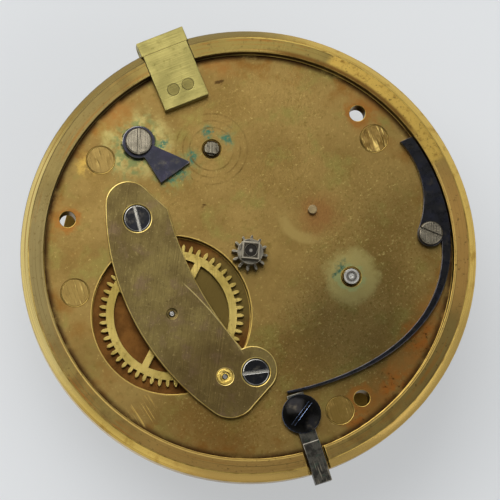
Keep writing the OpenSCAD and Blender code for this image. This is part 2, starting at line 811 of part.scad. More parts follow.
// Outline of the foot, from its end to the screw: along the rim outside, hollowed by one arc inside
module spring_foot() {
    reach = 2 * spring_foot_r;
    intersection() {
        circle(r = spring_foot_r, $fn = 192);
        union() {
            difference() {
                polygon([
                    spring_hollow_p,
                    spring_screw_p,
                    polar(reach, spring_screw_a),
                    spring_foot_end_p + polar(reach, spring_foot_end_turn),
                    spring_foot_end_p - polar(spring_hollow_r, spring_foot_end_turn)
                ]);
                translate(spring_hollow_p) circle(r = spring_hollow_r, $fn = 192);
            }
            translate(spring_screw_p) circle(r = spring_hub_r);
        }
    }
}

module bolt_spring() {
    color(blued) translate([0, 0, dial_z]) difference() {
        union() {
            linear_extrude(spring_h) spring_foot();
            linear_extrude(spring_h) polygon(ribbon(spring_line, spring_w, spring_tip_w, spring_taper));
        }
        translate(up(spring_screw_p, -eps)) cylinder(r = screw_r + fit_gap, h = spring_h + 2 * eps);
    }
}

module bolt_spring_screw() {
    color(steel) translate(up(spring_screw_p, dial_z + spring_h))
        slotted_screw(spring_head_r, spring_head_h, screw_r, spring_h + screw_depth, spring_slot_a);
}

stud_r = 0.45;
stud_tenon_r = 0.25;
stud_h = 0.7;

module minute_wheel_stud() {
    color(bright_brass) translate(stud_p) union() {
        rod(stud_tenon_r, sink_z, dial_z + stud_h);
        rod(stud_r, dial_z, dial_z + stud_h);
    }
}

// Frame

pillar_land = 0.8;
pillar_slope = 0.6;
pin_gap = 0.05;
pin_z = top_z - pin_r - pin_gap;

module pillars() {
    end_z = top_z - pillar_end_h;
    head_z = frame_z + pillar_land;
    foot_z = under_z - pillar_land;
    color(pale_brass)
        for (p = pillar_places)
            translate(p) difference() {
                rotate_extrude() polygon([
                    [0, end_z], [pillar_pin_end_r, end_z], [pillar_pin_end_r, frame_z],
                    [pillar_head_r, frame_z], [pillar_head_r, head_z],
                    [pillar_waist_r, head_z + pillar_slope], [pillar_waist_r, foot_z - pillar_slope],
                    [pillar_foot_r, foot_z], [pillar_foot_r, under_z],
                    [pillar_rivet_r, under_z], [pillar_rivet_r, dial_z], [0, dial_z]
                ]);
                translate([0, 0, pin_z]) lying() rod(pin_r + fit_gap, -pin_len / 2, pin_len / 2);
            }
}

module pillar_pins() {
    color(steel)
        for (p = pillar_places)
            translate(up(p, pin_z)) lying() rod(pin_r, -pin_len / 2, pin_len / 2);
}

// Places and sizes round the balance and the crown wheel
boss_r = 1.55;
verge_hole_gap = 0.1;
verge_hole_r = pallet_reach + verge_hole_gap;
centre_pivot_r = 0.4;
pallet_gap = 0.05;
crown_gap = pallet_reach + pallet_gap;
cock_dir = atan2(verge_p[1], verge_p[0]);
cock_foot_edge = 0.3;
cock_foot_gap = 0.7;
cock_foot_in = balance_r + cock_foot_gap;
cock_foot_out = top_r - cock_foot_edge - norm(verge_p);
cock_screw_p = verge_p + polar((cock_foot_in + cock_foot_out) / 2, cock_dir);
hairspring_end_a = 290;
hairspring_stud_r = 0.35;
stud_past = 0.1;
hairspring_stud_p = verge_p + polar(hairspring_r, hairspring_end_a);
potence_y = 3.5;
potence_half = 0.8;
potence_gap = 0.1;
nose_t = 0.5;
nose_half = 0.6;
nose_z = under_z - potence_gap - nose_t;
arm_half = 0.5;
arm_gap = 0.1;
arm_x0 = verge_r + arm_gap;
arm_x1 = crown_gap - arm_gap;
counter_in = 3.2;
counter_x0 = verge_d - counter_in;
counter_len = 0.9;
counter_half = 0.8;
counter_up = 0.6;
counter_screw_r = 0.36;
potence_screw_r = 0.45;
potence_screw_d = 1;
potence_screw_gap = 0.1;
potence_screw_head_r = 0.75;
potence_screw_head_h = 0.4;

module potence_screw_places() {
    escapement() {
        translate([0, potence_y, top_z - crown_z]) children();
        translate([counter_x0 + counter_len / 2, 0, top_z - crown_z]) children();
    }
}

module top_plate() {
    low = regulator_z - eps;
    high = frame_z + eps;
    color(brass) difference() {
        union() {
            rod(top_r, top_z, frame_z, $fn = 96);
            translate(verge_p) rod(boss_r, regulator_z, top_z + join);
        }
        hole(verge_p, verge_hole_r, low, high);
        hole([0, 0], centre_pivot_r + pivot_gap, low, high);
        hole(third_p, pivot_r + pivot_gap, low, high);
        hole(contrate_p, pivot_r + pivot_gap, low, high);
        hole(fusee_p, fusee_lower_r + pivot_gap, low, high);
        hole(barrel_p, barrel_pivot_r + fit_gap, low, high);
        for (p = pillar_places)
            hole(p, pillar_pin_end_r + fit_gap, low, high);
        hole(cock_screw_p, screw_r + fit_gap, low, high);
        hole(hairspring_stud_p, hairspring_stud_r + fit_gap, low, high);
        potence_screw_places() {
            rod(potence_screw_r + fit_gap, -eps, top_t + eps);
            rod(potence_screw_head_r + fit_gap, -eps, potence_screw_head_h);
        }
    }
}

module potence() {
    low = frame_z - crown_z;
    nose = nose_z - crown_z;
    color(pale_brass) escapement() difference() {
        union() {
            translate([-potence_half, potence_y - potence_half, low])
                cube([2 * potence_half, 2 * potence_half, nose + nose_t - low]);
            translate([arm_x0, -nose_half, -arm_half]) cube([arm_x1 - arm_x0, potence_y, 2 * arm_half]);
            translate([-nose_half, -nose_half, nose]) cube([2 * nose_half, potence_y, nose_t]);
        }
        translate([arm_x0 - eps, 0, 0]) lying() rod(crown_pivot_r + pivot_gap, 0, arm_x1 - arm_x0 + 2 * eps);
        rod(pivot_r + pivot_gap, nose - eps, nose + nose_t + eps);
        translate([0, potence_y, 0]) rod(potence_screw_r + fit_gap, low - eps, low + potence_screw_d);
    }
}

module counter_potence() {
    low = frame_z - crown_z;
    color(pale_brass) escapement() difference() {
        translate([counter_x0, -counter_half, low]) cube([counter_len, 2 * counter_half, counter_up - low]);
        translate([counter_x0 - eps, 0, 0]) lying() rod(crown_pivot_r + pivot_gap, 0, counter_len + 2 * eps);
        translate([counter_x0 + counter_len / 2, 0, 0])
            rod(counter_screw_r + fit_gap, low - eps, low + potence_screw_d);
    }
}

// Screw let in from the underside of the top plate
module sunk_screw(shank_r, slot_a) {
    shank_len = top_t - potence_screw_head_h + potence_screw_d - potence_screw_gap;
    mirror([0, 0, 1]) translate([0, 0, -potence_screw_head_h])
        slotted_screw(potence_screw_head_r, potence_screw_head_h, shank_r, shank_len, slot_a);
}

module potence_screws() {
    low = top_z - crown_z;
    color(blued) escapement() {
        translate([0, potence_y, low]) sunk_screw(potence_screw_r, potence_slot_a);
        translate([counter_x0 + counter_len / 2, 0, low]) sunk_screw(counter_screw_r, counter_slot_a);
    }
}

// Balance cock, a pierced table on a foot at the edge of the top plate

cap_r = 1.3;
cap_t = 0.3;
cock_holes = 10;
cock_outer_d = 6.4;
cock_outer_r = 1.25;
cock_inner_d = 3.5;
cock_inner_r = 0.75;

module balance_cock() {
    color(bright_brass) translate(verge_p) difference() {
        union() {
            rod(cock_r, 0, cock_t, $fn = 96);
            rotate(cock_dir) translate([cock_r / 2, -cock_foot_w / 2, 0])
                cube([cock_foot_out - cock_r / 2, cock_foot_w, cock_t]);
            rotate(cock_dir) translate([cock_foot_in, -cock_foot_w / 2, 0])
                cube([cock_foot_out - cock_foot_in, cock_foot_w, top_z]);
        }
        rod(pivot_r + pivot_gap, -eps, cock_t + eps);
        rod(cap_r + fit_gap, -eps, cap_t);
        for (i = [0:cock_holes - 1])
            rotate(cock_dir + 360 * (i + 0.5) / cock_holes) {
                translate([cock_outer_d, 0, 0]) rod(cock_outer_r, -eps, cock_t + eps);
                translate([cock_inner_d, 0, 0]) rod(cock_inner_r, -eps, cock_t + eps);
            }
        translate(cock_screw_p - verge_p) rod(screw_r + fit_gap, -eps, top_z + eps);
        translate(cock_screw_p - verge_p) rod(cock_head_r + fit_gap, -eps, cock_head_h);
    }
}

module cock_screw() {
    color(blued) translate(up(cock_screw_p, cock_head_h)) mirror([0, 0, 1])
        slotted_screw(cock_head_r, cock_head_h, screw_r, top_z + top_t - cock_head_h, cock_slot_a);
}

module cock_end_cap() {
    color(steel) translate(verge_p) rod(cap_r, 0, cap_t);
}

// Hairspring, one ribbon from the collet to the stud

collet_r = 0.7;
collet_past = 0.05;
hairspring_in_gap = 0.1;
hairspring_in = collet_r + hairspring_in_gap;
hairspring_short_a = 8;
hairspring_last_a = hairspring_end_a - hairspring_short_a;
hairspring_per_turn = 24;

function spiral(r0, r1, a1, turns, per_turn) = [
    for (i = [0:turns * per_turn])
        let (f = i / (turns * per_turn)) polar(r0 + (r1 - r0) * f, a1 - 360 * turns * (1 - f))
];

hairspring_line =
    spiral(hairspring_in, hairspring_r, hairspring_last_a, hairspring_turns, hairspring_per_turn);

// Least gap between one turn of a ribbon and the next, measured on its points
function least_gap(line, per_turn, w) =
    min([for (i = [0:len(line) - 1 - per_turn]) norm(line[i + per_turn] - line[i])]) - w;

echo(hairspring_gap = least_gap(hairspring_line, hairspring_per_turn, hairspring_t));

module hairspring() {
    color(blued) translate(up(verge_p, hairspring_z))
        linear_extrude(hairspring_h) polygon(ribbon(hairspring_line, hairspring_t, hairspring_t));
}

module hairspring_stud() {
    color(steel) translate(hairspring_stud_p) rod(hairspring_stud_r, hairspring_z - stud_past, frame_z);
}

// Regulator index, turning on the boss of the top plate

regulator_dir = cock_dir + 180;
regulator_gap = 0.05;
regulator_ring_w = 0.9;
regulator_half = 0.45;
regulator_tip = 1;
curb_gap = 0.14;
curb_r = 0.1;
curb_short = 0.05;

// Radius of the hairspring's last turn under the regulator
coil_back_a = ((hairspring_last_a - regulator_dir) % 360 + 360) % 360;
coil_r = hairspring_r - (hairspring_r - hairspring_in) * coil_back_a / (360 * hairspring_turns);

module regulator_index() {
    ring_in = boss_r + regulator_gap;
    ring_out = ring_in + regulator_ring_w;
    neck = regulator_len - regulator_tip;
    curb = hairspring_t / 2 + curb_gap + curb_r;
    color(steel) translate(verge_p) rotate(regulator_dir) difference() {
        union() {
            rod(ring_out, regulator_z, regulator_z + regulator_t);
            translate([0, 0, regulator_z]) linear_extrude(regulator_t) polygon([
                [0, -regulator_half], [neck, -regulator_half], [regulator_len, 0], [neck, regulator_half],
                [0, regulator_half]
            ]);
            for (s = [-1, 1])
                translate([coil_r + s * curb, 0, 0])
                    rod(curb_r, hairspring_z + curb_short, regulator_z + join);
        }
        rod(ring_in, regulator_z - eps, top_z);
    }
}

// Going train

wheel_spokes = 4;
third_hub_r = 1.3;
centre_rim_w = 0.7;
centre_hub_r = 1.7;
centre_spoke_a = 20;
centre_seat_r = 0.85;
centre_seat_past = 0.05;
centre_leaf_drop = 0.3;
centre_end_sink = 0.15;
pinion_gap = 0.1;
pivot_short = 0.1;

module third_wheel() {
    rim = root_r(third_teeth, third_m) - third_rim_w;
    mesh_a = angle_to(third_p, contrate_p);
    color(bright_brass) translate(up(third_p, third_wheel_z))
        train_wheel(third_teeth, third_m, wheel_t, mesh_a, rim, third_hub_r, arbor_r + fit_gap, wheel_spokes,
            third_spoke_a);
}

// Slender arbor from the top plate to the bridge, with its two pivots
module train_arbor() {
    rod(pivot_r, top_z + pivot_short, frame_z + end_play + join);
    rod(arbor_r, frame_z + end_play, dial_z - end_play);
    rod(pivot_r, dial_z - end_play - join, bridge_z - pivot_short);
}

module third_arbor() {
    leaf_z = under_z + pinion_gap;
    color(steel) translate(third_p) union() {
        train_arbor();
        translate([0, 0, leaf_z]) pinion(third_leaves, centre_m, sink_z - pinion_gap - leaf_z, third_a + 180);
    }
}

module centre_wheel() {
    rim = root_r(centre_teeth, centre_m) - centre_rim_w;
    color(bright_brass) translate([0, 0, centre_wheel_z])
        train_wheel(centre_teeth, centre_m, wheel_t, third_a, rim, centre_hub_r, centre_seat_r + fit_gap,
            wheel_spokes, centre_spoke_a);
}

module centre_arbor() {
    leaf_z = great_z - centre_leaf_drop;
    color(steel) union() {
        rod(centre_pivot_r, top_z + pivot_short, frame_z + end_play + join);
        rod(centre_seat_r, frame_z + end_play, centre_wheel_z + wheel_t + centre_seat_past);
        rod(centre_arbor_r, centre_wheel_z, dial_z + cannon_top - centre_end_sink);
        translate([0, 0, leaf_z]) pinion(centre_leaves, great_m, under_z - pinion_gap - leaf_z, fusee_a);
    }
}

cannon_square_a = -27;
cannon_core_r = 0.75;

module cannon_pinion() {
    z0 = dial_z + slide_gap;
    top = dial_z + cannon_top;
    square_z = top - cannon_square_h;
    half = cannon_square / 2;
    leaf_m = cannon_r / (cannon_leaves / 2 + leaf_add);
    color(dark_steel) difference() {
        union() {
            rod(cannon_core_r, z0, top);
            translate([0, 0, z0]) pinion(cannon_leaves, leaf_m, cannon_leaf_h, 0);
            rod(cannon_pipe_r, z0 + cannon_leaf_h, square_z);
            rotate(cannon_square_a)
                translate([-half, -half, square_z]) cube([cannon_square, cannon_square, top - square_z]);
        }
        rod(centre_arbor_r + fit_gap, z0 - eps, top + eps);
    }
}

// Fusee, great wheel and chain

fusee_lower_r = 0.95;
fusee_hub_r = 1.3;
fusee_end_h = 0.4;
fusee_dot_r = 0.15;
fusee_gap = 0.05;
fusee_top = great_z - fusee_gap;
winding_end = 0.2;
groove_gap = 0.12;
groove_h = chain_h + groove_gap;
ridge_h = 0.1;
ridge_d = 0.3;

function groove_r(i) = fusee_big_r / (1 + i * (fusee_big_r / fusee_small_r - 1) / (fusee_turns - 1));
function groove_top(i) = fusee_top - ridge_h - i * (groove_h + ridge_h);

module fusee_cone() {
    outline = concat(
        [[0, fusee_top], [groove_r(0) + ridge_d, fusee_top]],
        [for (i = [0:fusee_turns - 1])
            let (next = groove_r(min(i + 1, fusee_turns - 1)), low = groove_top(i) - groove_h)
            each [
                [groove_r(i) + ridge_d, groove_top(i)], [groove_r(i), groove_top(i)],
                [groove_r(i), low], [next + ridge_d, low]
            ]],
        [[0, groove_top(fusee_turns - 1) - groove_h]]
    );
    color(bright_brass) translate(fusee_p) difference() {
        rotate_extrude() polygon(outline);
        rod(fusee_hub_r + fit_gap, frame_z, under_z);
    }
}

module great_wheel() {
    color(bright_brass) translate(up(fusee_p, great_z)) difference() {
        toothed_disc(great_teeth, great_m, great_t, fusee_a + 180);
        rod(fusee_hub_r + fit_gap, -eps, great_t + eps);
    }
}

module fusee_arbor() {
    half = winding_square / 2;
    color(steel) translate(fusee_p) union() {
        translate([-half, -half, winding_end]) cube([winding_square, winding_square, top_z - winding_end]);
        rod(fusee_lower_r, top_z - join, frame_z + end_play + join);
        rod(fusee_hub_r, frame_z + end_play, under_z - end_play);
        difference() {
            rod(fusee_pivot_r, under_z - end_play - join, dial_z + fusee_end_h);
            translate([0, 0, dial_z + fusee_end_h - fusee_dot_r])
                cylinder(r1 = 0, r2 = 2 * fusee_dot_r, h = 2 * fusee_dot_r);
        }
    }
}

// The chain winds round the barrel, runs straight to the fusee and ends in its largest groove

chain_gap = 0.1;
chain_barrel_r = barrel_r + chain_gap + chain_t / 2;
chain_fusee_r = fusee_big_r + chain_gap + chain_t / 2;
chain_run = norm(fusee_p - barrel_p);
chain_tilt = asin((chain_barrel_r - chain_fusee_r) / chain_run);
chain_off_a = angle_to(barrel_p, fusee_p) + 90 - chain_tilt;
chain_end_z = groove_top(0) - groove_h / 2;
chain_steps = 24;
chain_end_steps = 4;
chain_end_a = 60;
chain_line = concat(
    [for (i = [0:chain_turns * chain_steps])
        let (turn = chain_turns - i / chain_steps)
        up(barrel_p + polar(chain_barrel_r, chain_off_a + 360 * turn), chain_end_z - turn * chain_pitch)],
    [for (i = [0:chain_end_steps])
        up(fusee_p + polar(chain_fusee_r, chain_off_a - chain_end_a * i / chain_end_steps), chain_end_z)]
);

// Square-edged band swept along a line that climbs gently
module band(line, w, h) {
    n = len(line) - 1;
    sides = [for (i = [0:n])
        let (d = line[min(i + 1, n)] - line[max(i - 1, 0)], s = norm([d[0], d[1]]))
        [-d[1] / s, d[0] / s, 0] * w / 2];
    rings = [for (i = [0:n]) each [
        line[i] + sides[i] + [0, 0, h / 2], line[i] - sides[i] + [0, 0, h / 2],
        line[i] - sides[i] - [0, 0, h / 2], line[i] + sides[i] - [0, 0, h / 2]
    ]];
    walls = [for (i = [0:n - 1], k = [0:3])
        let (a = 4 * i + k, b = 4 * i + (k + 1) % 4) each [[a, b, b + 4], [a, b + 4, a + 4]]];
    ends = [[0, 2, 1], [0, 3, 2], [4 * n, 4 * n + 1, 4 * n + 2], [4 * n, 4 * n + 2, 4 * n + 3]];
    polyhedron(points = rings, faces = concat(walls, ends), convexity = 10);
}

echo(chain_gap = chain_pitch - chain_h);

module fusee_chain() {
    color(steel) band(chain_line, chain_t, chain_h);
}

// Barrel

barrel_low_air = 0.4;
barrel_top_air = 0.6;
barrel_z = frame_z + barrel_low_air;
barrel_top = under_z - barrel_top_air;
barrel_end_h = 0.6;
barrel_square = 1.08;
barrel_square_a = -30;
barrel_hub_step = 0.4;
barrel_hub_r = barrel_core_r - barrel_hub_step;
barrel_play = 0.08;
barrel_floor = 0.5;
cover_t = 0.35;
cover_lip = 0.2;

module barrel_drum() {
    color(bright_brass) translate(barrel_p) difference() {
        rod(barrel_r, barrel_z, barrel_top, $fn = 96);
        rod(barrel_r - barrel_wall, barrel_z + barrel_floor, barrel_top + eps, $fn = 96);
        rod(barrel_r - cover_lip + fit_gap, barrel_top - cover_t, barrel_top + eps, $fn = 96);
        rod(barrel_hub_r + pivot_gap, barrel_z - eps, barrel_top);
    }
}

module barrel_cover() {
    color(bright_brass) translate(barrel_p) difference() {
        rod(barrel_r - cover_lip, barrel_top - cover_t, barrel_top, $fn = 96);
        rod(barrel_hub_r + pivot_gap, barrel_top - cover_t - eps, barrel_top + eps);
    }
}

module barrel_arbor() {
    half = barrel_square / 2;
    color(steel) translate(barrel_p) union() {
        rod(barrel_pivot_r, top_z + pivot_short, dial_z + join);
        intersection() {
            rod(barrel_pivot_r, dial_z, dial_z + barrel_end_h);
            rotate(barrel_square_a) translate([-half, -half, dial_z])
                cube([barrel_square, barrel_square, barrel_end_h]);
        }
        rod(barrel_hub_r, frame_z, under_z);
        rod(barrel_core_r, barrel_z + barrel_floor + barrel_play, barrel_top - cover_t - barrel_play);
    }
}

mainspring_per_turn = 24;
mainspring_end_gap = 0.1;
mainspring_air = 0.15;
mainspring_in = barrel_core_r + mainspring_end_gap + mainspring_t / 2;
mainspring_out = barrel_r - barrel_wall - mainspring_end_gap - mainspring_t / 2;
mainspring_line = spiral(mainspring_in, mainspring_out, 0, mainspring_turns, mainspring_per_turn);
echo(mainspring_gap = least_gap(mainspring_line, mainspring_per_turn, mainspring_t));

module mainspring() {
    z0 = barrel_z + barrel_floor + mainspring_air;
    z1 = barrel_top - cover_t - mainspring_air;
    color(dark_steel) translate(up(barrel_p, z0))
        linear_extrude(z1 - z0) polygon(ribbon(mainspring_line, mainspring_t, mainspring_t));
}

// Contrate wheel, with teeth that stand down from a deep band

contrate_hub_r = 1.1;
contrate_tip_more = 0.07;
contrate_root_less = 0.03;
contrate_leaf_drop = 0.15;

// Gap between two teeth of the contrate wheel, drawn across the band
module contrate_gap() {
    half = contrate_m * (PI - contrate_tooth) / 2;
    tip = half + contrate_tip_more;
    root = half - contrate_root_less;
    low = contrate_tip_z - eps;
    polygon([[-tip, low], [tip, low], [root, contrate_root_z], [-root, contrate_root_z]]);
}

module contrate_wheel() {
    rim = contrate_r - contrate_band;
    web_top = contrate_web_z + contrate_web_t;
    color(bright_brass) translate(contrate_p) difference() {
        union() {
            difference() {
                rod(contrate_r, contrate_tip_z, web_top);
                rod(rim, contrate_tip_z - eps, web_top + eps);
                for (i = [0:contrate_teeth - 1])
                    rotate(escape_a + 360 * i / contrate_teeth)
                        translate([rim - eps, 0, 0]) rotate([90, 0, 90])
                            linear_extrude(contrate_band + 2 * eps) contrate_gap();
            }
            rod(contrate_hub_r, contrate_web_z, web_top);
            for (i = [0:wheel_spokes - 1])
                rotate(360 * i / wheel_spokes) translate([0, -spoke_w / 2, contrate_web_z])
                    cube([contrate_pitch_r, spoke_w, contrate_web_t]);
        }
        rod(arbor_r + fit_gap, contrate_tip_z - eps, web_top + eps);
    }
}

module contrate_arbor() {
    leaf_z = third_wheel_z - contrate_leaf_drop;
    mesh_a = angle_to(contrate_p, third_p);
    color(steel) translate(contrate_p) union() {
        train_arbor();
        translate([0, 0, leaf_z]) pinion(contrate_leaves, third_m, dial_z - pinion_gap - leaf_z, mesh_a);
    }
}

// Crown wheel with saw teeth that face the verge

crown_pivot_r = 0.13;
crown_arbor_r = 0.25;
crown_end_gap = 0.1;
crown_tooth_h = 0.5;
crown_tooth_tip = 0.1;
crown_hook = 0.12;
crown_band = 0.4;
crown_depth = 1;
crown_web_x = crown_gap + crown_depth;
crown_web_t = 0.25;
crown_hub_r = 0.6;
crown_spokes = 3;
crown_spoke_w = 0.5;
crown_leaf_len = 0.8;
crown_pivot_in = 0.05;

// Gap behind one saw tooth, drawn across the band
module crown_tooth_gap() {
    pitch = 2 * PI * (crown_r - crown_band / 2) / crown_teeth;
    polygon([
        [crown_tooth_tip, crown_gap - eps], [pitch, crown_gap - eps], [pitch, crown_gap],
        [pitch * (1 - crown_hook), crown_gap + crown_tooth_h], [crown_tooth_tip, crown_gap]
    ]);
}

module crown_wheel() {
    rim = crown_r - crown_band;
    web_top = crown_web_x + crown_web_t;
    color(bright_brass) escapement() lying() difference() {
        union() {
            difference() {
                rod(crown_r, crown_gap, web_top);
                rod(rim, crown_gap - eps, web_top + eps);
                for (i = [0:crown_teeth - 1])
                    rotate(360 * i / crown_teeth)
                        translate([rim - eps, 0, 0]) rotate([90, 0, 90])
                            linear_extrude(crown_band + 2 * eps) crown_tooth_gap();
            }
            rod(crown_hub_r, crown_web_x, web_top);
            for (i = [0:crown_spokes - 1])
                rotate(360 * i / crown_spokes) translate([0, -crown_spoke_w / 2, crown_web_x])
                    cube([rim + join, crown_spoke_w, crown_web_t]);
        }
        rod(crown_arbor_r + fit_gap, crown_web_x - eps, web_top + eps);
    }
}

module crown_arbor() {
    leaf_x = verge_d - contrate_pitch_r - crown_leaf_len / 2;
    first_x = crown_gap + crown_end_gap;
    last_x = counter_x0 - end_play;
    color(steel) escapement() lying() union() {
        rod(crown_pivot_r, arm_x0 + crown_pivot_in, first_x + join);
        rod(crown_arbor_r, first_x, last_x);
        rod(crown_pivot_r, last_x - join, counter_x0 + counter_len - pivot_short);
        translate([0, 0, leaf_x]) pinion(crown_leaves, contrate_m, crown_leaf_len, 180);
    }
}

// Balance and verge

balance_hub_r = 1.1;
balance_spokes = 3;
balance_spoke_w = 0.9;
verge_seat_r = 0.5;
pallet_h = 0.8;
pallet_w = 0.2;
pallet_a = 50;
pallet_relief = 0.02;

module balance_wheel() {
    color(bright_brass) translate(up(verge_p, balance_z)) difference() {
        cylinder(r = balance_r, h = balance_t, $fn = 96);
        difference() {
            rod(balance_r - balance_rim_w, -eps, balance_t + eps, $fn = 96);
            rod(balance_hub_r, -2 * eps, balance_t + 2 * eps);
            for (i = [0:balance_spokes - 1])
                rotate(cock_dir + 360 * i / balance_spokes) translate([0, -balance_spoke_w / 2, -2 * eps])
                    cube([balance_r, balance_spoke_w, balance_t + 4 * eps]);
        }
        rod(verge_seat_r + fit_gap, -eps, balance_t + eps);
    }
}

module verge() {
    crown_mid_r = crown_r - crown_band / 2;
    color(steel) translate(verge_p) union() {
        rod(pivot_r, cap_t + end_play, balance_z);
        rod(verge_seat_r, balance_z - join, frame_z);
        rod(verge_r, frame_z - join, nose_z - end_play);
        rod(pivot_r, nose_z - end_play - join, nose_z + nose_t - pivot_short);
        for (s = [-1, 1])
            rotate(escape_a + 180 + s * pallet_a)
                translate([0, -pallet_w / 2, crown_z + s * crown_mid_r - pallet_h / 2])
                    cube([pallet_reach - pallet_relief, pallet_w, pallet_h]);
    }
}

module balance_collet() {
    low = hairspring_z - collet_past;
    high = hairspring_z + hairspring_h + collet_past;
    color(bright_brass) translate(verge_p) difference() {
        rod(collet_r, low, high);
        rod(verge_seat_r + fit_gap, low - eps, high + eps);
    }
}

pillar_plate();
hinge_block();
hinge_rivets();
third_wheel_bridge();
bridge_screws();
contrate_bush();
click();
click_screw();
bolt();
bolt_screw();
bolt_spring();
bolt_spring_screw();
minute_wheel_stud();
pillars();
pillar_pins();
top_plate();
balance_cock();
cock_screw();
cock_end_cap();
potence();
counter_potence();
potence_screws();
hairspring();
hairspring_stud();
regulator_index();
third_wheel();
third_arbor();
centre_wheel();
centre_arbor();
cannon_pinion();
fusee_cone();
great_wheel();
fusee_arbor();
fusee_chain();
barrel_drum();
barrel_cover();
barrel_arbor();
mainspring();
contrate_wheel();
contrate_arbor();
crown_wheel();
crown_arbor();
balance_wheel();
verge();
balance_collet();
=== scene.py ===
import json
import math

import bmesh
import bpy
from mathutils import Matrix, Vector

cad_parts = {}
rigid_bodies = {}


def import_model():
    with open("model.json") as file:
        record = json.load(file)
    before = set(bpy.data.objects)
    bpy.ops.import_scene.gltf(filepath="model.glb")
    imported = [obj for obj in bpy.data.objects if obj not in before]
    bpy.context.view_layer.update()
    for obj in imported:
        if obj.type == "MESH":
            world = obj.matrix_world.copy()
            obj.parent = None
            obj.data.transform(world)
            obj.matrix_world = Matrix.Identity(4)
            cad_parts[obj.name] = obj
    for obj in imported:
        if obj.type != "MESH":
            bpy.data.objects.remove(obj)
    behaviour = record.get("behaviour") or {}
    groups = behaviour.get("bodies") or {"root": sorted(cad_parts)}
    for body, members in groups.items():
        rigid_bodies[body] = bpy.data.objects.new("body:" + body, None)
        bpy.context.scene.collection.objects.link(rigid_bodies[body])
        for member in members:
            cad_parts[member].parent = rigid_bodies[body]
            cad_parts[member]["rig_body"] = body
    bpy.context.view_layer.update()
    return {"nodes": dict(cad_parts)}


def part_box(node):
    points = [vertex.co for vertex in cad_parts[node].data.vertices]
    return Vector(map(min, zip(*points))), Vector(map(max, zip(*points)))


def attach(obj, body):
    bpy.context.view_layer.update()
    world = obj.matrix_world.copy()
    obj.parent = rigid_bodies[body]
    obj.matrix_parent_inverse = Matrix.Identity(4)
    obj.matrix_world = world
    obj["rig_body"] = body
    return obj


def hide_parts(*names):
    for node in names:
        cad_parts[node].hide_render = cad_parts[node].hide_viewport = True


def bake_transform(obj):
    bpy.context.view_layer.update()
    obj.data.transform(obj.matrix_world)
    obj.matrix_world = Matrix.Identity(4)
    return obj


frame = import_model()

# Pillar plate: the base of the movement, a brass disc with a raised rim that the dial sits on.
# Turned and brushed, then tarnished: brown-olive on the flat, orange by the rim and in the recess,
# with green corrosion round the steel pieces and a polished bevel at the outer edge.
# Painted shade darkens broad patches of the flat, the recess floor, the foot of the rim, part of the rim's
# inner edge and the rubbed edges at the upper left; a painted highlight runs along the rim's inner edge on
# one
# side, and painted light and shade vary the bevel round the edge.
MM = 0.001
MERGE_GAP = 0.003 * MM
FLAT_ANGLE = math.radians(0.3)
CORNER_ANGLE = math.radians(30)
SMOOTH_ANGLE = math.radians(20)


def finished(name, edge_mm, metal, edge_metal=None, bend=None):
    """A copy of a node that stands for it, with its flats joined and its corners broken by edge_mm."""
    node = frame["nodes"][name]
    shape = bmesh.new()
    shape.from_mesh(node.data)
    bmesh.ops.remove_doubles(shape, verts=shape.verts, dist=MERGE_GAP)
    bmesh.ops.dissolve_limit(shape, angle_limit=FLAT_ANGLE, verts=shape.verts, edges=shape.edges)
    for face in shape.faces:
        face.material_index = 0
        bends = [edge for edge in face.edges if FLAT_ANGLE < edge.calc_face_angle(0) < CORNER_ANGLE]
        face.smooth = len(bends) > 1
    corners = [edge for edge in shape.edges if edge.calc_face_angle(0) >= CORNER_ANGLE]
    broken = bmesh.ops.bevel(
        shape, geom=corners, offset=edge_mm * MM, offset_type="OFFSET", affect="EDGES",
        segments=2, profile=0.5, material=-1, clamp_overlap=False,
    )
    for face in broken["faces"]:
        face.smooth = True
        face.material_index = 1 if edge_metal else 0
    for edge in shape.edges:
        edge.smooth = edge.calc_face_angle(0) < SMOOTH_ANGLE
    mesh = bpy.data.meshes.new(name + "_finished")
    shape.to_mesh(mesh)
    shape.free()
    mesh.materials.append(metal)
    if edge_metal:
        mesh.materials.append(edge_metal)
    piece = bpy.data.objects.new(name + "_finished", mesh)
    bpy.context.scene.collection.objects.link(piece)
    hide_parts(name)
    if bend:
        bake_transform(piece)
    else:
        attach(piece, node["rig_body"])


def linear(hex_colour):
    """An sRGB hex colour as linear RGBA."""
    parts = [int(hex_colour[i:i + 2], 16) / 255 for i in (1, 3, 5)]
    return [c / 12.92 if c <= 0.04045 else ((c + 0.055) / 1.055) ** 2.4 for c in parts] + [1.0]


def add(tree, kind, sockets, **settings):
    """Adds a node of a kind, with its settings, and fills or links its input sockets."""
    node = tree.nodes.new("ShaderNode" + kind)
    for name, value in settings.items():
        setattr(node, name, value)
    for key, value in sockets.items():
        if isinstance(value, bpy.types.NodeSocket):
            tree.links.new(value, node.inputs[key])
        else:
            node.inputs[key].default_value = value
    return node


def new_metal(name):
    """A material with a metal shader, and the place on the piece in millimetres."""
    material = bpy.data.materials.new(name)
    material.use_nodes = True
    tree = material.node_tree
    shader = tree.nodes["Principled BSDF"]
    shader.inputs["Metallic"].default_value = 1.0
    spot = add(tree, "TexCoord", {})
    place = add(tree, "VectorMath", {0: spot.outputs["Object"], "Scale": 1 / MM}, operation="SCALE")
    return material, tree, shader, place.outputs[0]


def cover(tree, limits):
    """How much of a surface is covered, from 0 to 1: each value counts from its low to its high limit."""
    amount = 1.0
    for value, low, high in limits:
        ends = {"Value": value, "From Min": low, "From Max": high}
        eased = add(tree, "MapRange", ends, interpolation_type="SMOOTHSTEP").outputs["Result"]
        amount = add(tree, "Math", {0: eased, 1: amount}, operation="MULTIPLY").outputs[0]
    return amount


